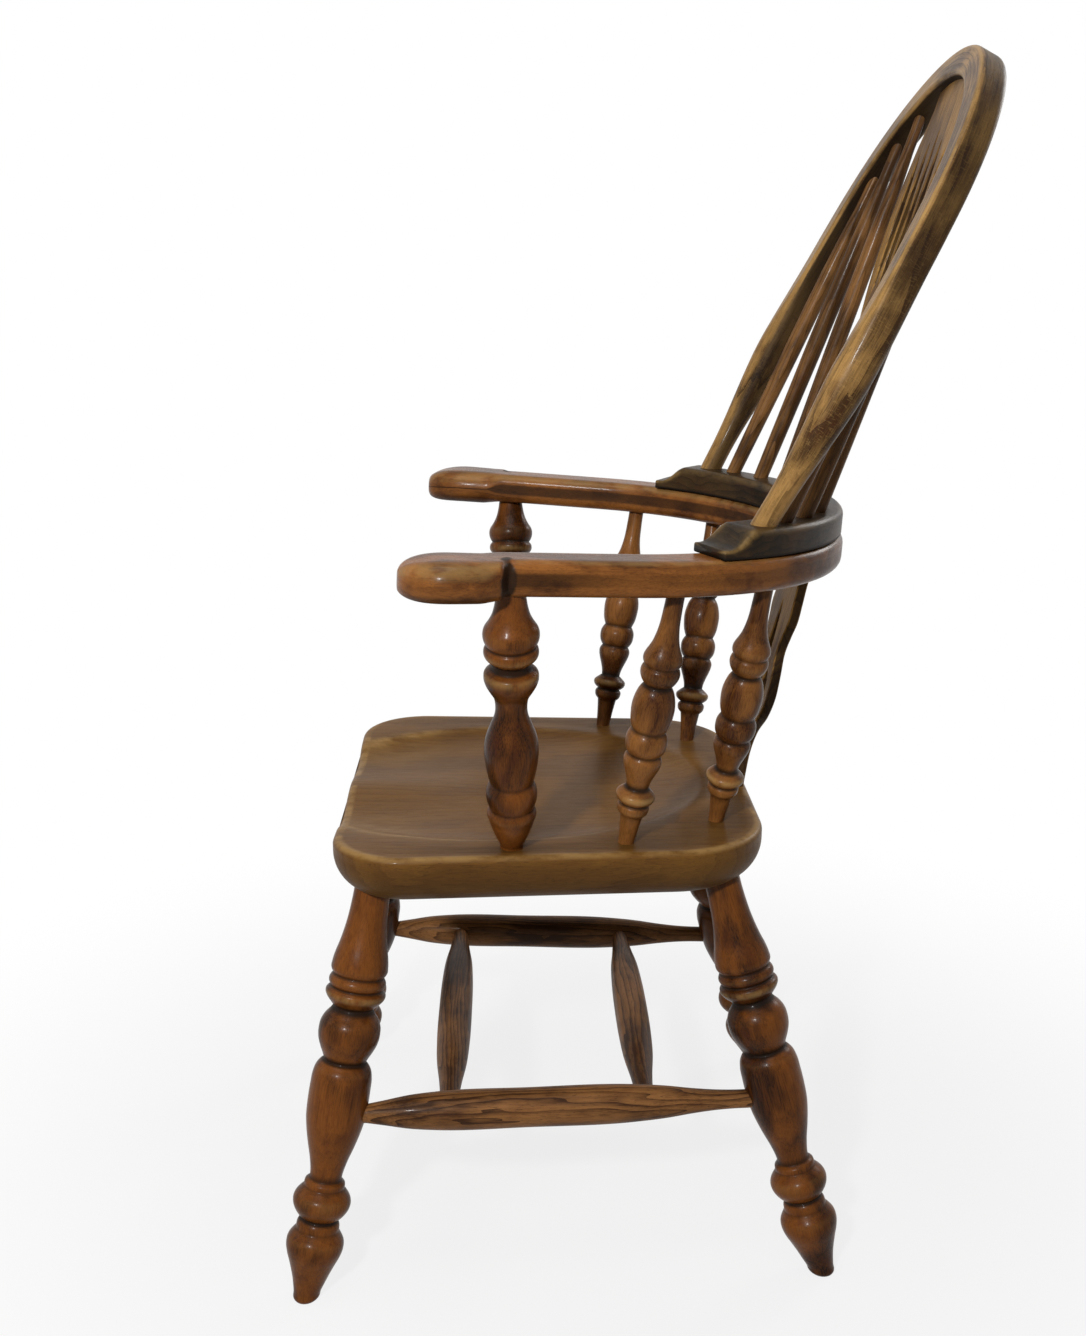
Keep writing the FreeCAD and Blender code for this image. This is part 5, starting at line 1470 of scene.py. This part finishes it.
def place_camera():
    """The photograph's own view: from the sitter's left, above the arms, looking a little down."""
    forward = Vector((-math.cos(CAMERA_YAW), math.sin(CAMERA_YAW), 0))
    right = Vector((math.sin(CAMERA_YAW), math.cos(CAMERA_YAW), 0))
    upward = Vector((0, 0, 1))
    ahead = forward * math.cos(CAMERA_PITCH) - upward * math.sin(CAMERA_PITCH)
    above = upward * math.cos(CAMERA_PITCH) + forward * math.sin(CAMERA_PITCH)
    aside = right * math.cos(CAMERA_ROLL) + above * math.sin(CAMERA_ROLL)
    above = above * math.cos(CAMERA_ROLL) - right * math.sin(CAMERA_ROLL)
    data = bpy.data.cameras.new("camera")
    data.sensor_width = SENSOR
    data.lens = FOCAL_PIXELS * SENSOR / IMAGE_HEIGHT
    camera = in_scene("camera", data)
    turn = Matrix((aside, above, -ahead)).transposed().to_4x4()
    camera.matrix_world = Matrix.Translation(CAMERA_PLACE) @ turn
    bpy.context.scene.camera = camera


# Each lamp's place and width in metres, and the point that all lamps face
LAMPS = {
    "overhead": ((0.45, -0.35, 2.6), 1.2),
    "near": ((2.05, -0.75, 1.65), 0.16),
    "front": ((-0.2, -2.4, 1.5), 0.9),
    "behind": ((-1.5, 1.9, 1.7), 0.9),
}
LIT_POINT = (0, -0.05, 0.55)
FLOOR_POINTS = 96
WHITE = (1, 1, 1, 1)


def add_lamp(name, place, width, watts):
    """A square soft box at a place, facing the lit point."""
    data = bpy.data.lights.new(name, "AREA")
    data.shape = "SQUARE"
    data.size = width
    data.energy = watts
    lamp = in_scene(name, data)
    lamp.location = place
    lamp.rotation_euler = (Vector(LIT_POINT) - Vector(place)).to_track_quat("-Z", "Y").to_euler()


def seen_or_mirrored(tree):
    """1 for what the camera, a mirror or glass sees, and 0 for light that falls on the chair."""
    rays = add(tree, "ShaderNodeLightPath").node.outputs
    seen = add(tree, MATH, {0: rays["Is Camera Ray"], 1: rays["Is Glossy Ray"]}, operation="MAXIMUM")
    return add(tree, MATH, {0: seen, 1: rays["Is Transmission Ray"]}, operation="MAXIMUM")


def light_room(scene, sizes):
    """A white room to the eye, which lights the chair at a lower level."""
    scene.world = bpy.data.worlds.new("room")
    tree = empty_tree(scene.world)
    tint = (*sizes.ambient_tint, 1)
    soft = add(tree, "ShaderNodeBackground", {"Color": tint, "Strength": sizes.ambient})
    white = add(tree, "ShaderNodeBackground", {"Color": WHITE, "Strength": 1.0})
    mixed = add(tree, "ShaderNodeMixShader", {0: seen_or_mirrored(tree), 1: soft, 2: white})
    add(tree, "ShaderNodeOutputWorld", {"Surface": mixed})


def lay_floor(sizes):
    """A matt pale floor that keeps the chair's shadow and turns white further off."""
    material = bpy.data.materials.new("pale_floor")
    tree = empty_tree(material)
    place = add(tree, "ShaderNodeTexCoord", output="Object")
    far = add(tree, "ShaderNodeVectorMath", {0: place}, "Value", operation="LENGTH")
    span = {"Value": far, "From Min": sizes.fade_start, "From Max": sizes.fade_end,
            "To Min": sizes.floor_white}
    whiter = add(tree, RANGE, span, interpolation_type="SMOOTHSTEP")
    fade = add(tree, MATH, {0: whiter, 1: seen_or_mirrored(tree)}, operation="MULTIPLY")
    matt = add(tree, "ShaderNodeBsdfDiffuse", {"Color": (*sizes.floor_tint, 1)})
    white = add(tree, "ShaderNodeEmission", {"Color": WHITE, "Strength": 1.0})
    mixed = add(tree, "ShaderNodeMixShader", {0: fade, 1: matt, 2: white})
    add(tree, "ShaderNodeOutputMaterial", {"Surface": mixed})
    turns = np.arange(FLOOR_POINTS) * FULL_TURN / FLOOR_POINTS
    rim = np.stack([np.cos(turns), np.sin(turns), np.zeros(FLOOR_POINTS)], axis=-1) * sizes.floor_radius
    mesh = bpy.data.meshes.new("floor")
    mesh.from_pydata(rim.tolist(), [], [list(range(FLOOR_POINTS))])
    mesh.materials.append(material)
    in_scene("floor", mesh)


class CHAIR_OT_stage(bpy.types.Operator):
    """Set the pale floor, the white room, the soft light and the camera"""

    bl_idname = "chair.stage"
    bl_label = "Stage"

    def execute(self, context):
        sizes = context.scene.chair_stage
        place_camera()
        for name, (place, width) in LAMPS.items():
            add_lamp(name, place, width, getattr(sizes, name))
        light_room(context.scene, sizes)
        lay_floor(sizes)
        context.scene.view_settings.view_transform = "Standard"
        return {"FINISHED"}


GROUPS = {"chair_turned": TurnedSizes, "chair_seat": SeatSizes, "chair_bow": BowSizes,
          "chair_hoop": HoopSizes, "chair_finish": FinishColours, "chair_stage": StageSizes}
OPERATORS = (CHAIR_OT_stage, CHAIR_OT_legs, CHAIR_OT_stretchers, CHAIR_OT_posts, CHAIR_OT_seat,
             CHAIR_OT_arms, CHAIR_OT_crest, CHAIR_OT_hoop, CHAIR_OT_sticks, CHAIR_OT_splats)


class CHAIR_PT_pieces(bpy.types.Panel):
    """The chair's pieces and their sizes"""

    bl_idname = "CHAIR_PT_pieces"
    bl_label = "Windsor chair"
    bl_space_type = "VIEW_3D"
    bl_region_type = "UI"
    bl_category = "Chair"

    def draw(self, context):
        for operator in OPERATORS:
            self.layout.operator(operator.bl_idname)
        for name, group in GROUPS.items():
            box = self.layout.box()
            for size in group.__annotations__:
                box.prop(getattr(context.scene, name), size)


def register():
    """Register the classes and give the scene their sizes."""
    for kind in (*GROUPS.values(), *OPERATORS, CHAIR_PT_pieces):
        bpy.utils.register_class(kind)
    for name, group in GROUPS.items():
        setattr(bpy.types.Scene, name, PointerProperty(type=group))


def unregister():
    """Take back what register did."""
    for name in GROUPS:
        delattr(bpy.types.Scene, name)
    for kind in reversed((*GROUPS.values(), *OPERATORS, CHAIR_PT_pieces)):
        bpy.utils.unregister_class(kind)


def main():
    """Build the whole chair."""
    register()
    for operator in OPERATORS:
        name = operator.bl_idname.split(".")[1]
        getattr(bpy.ops.chair, name)()


if __name__ == "__main__":
    main()
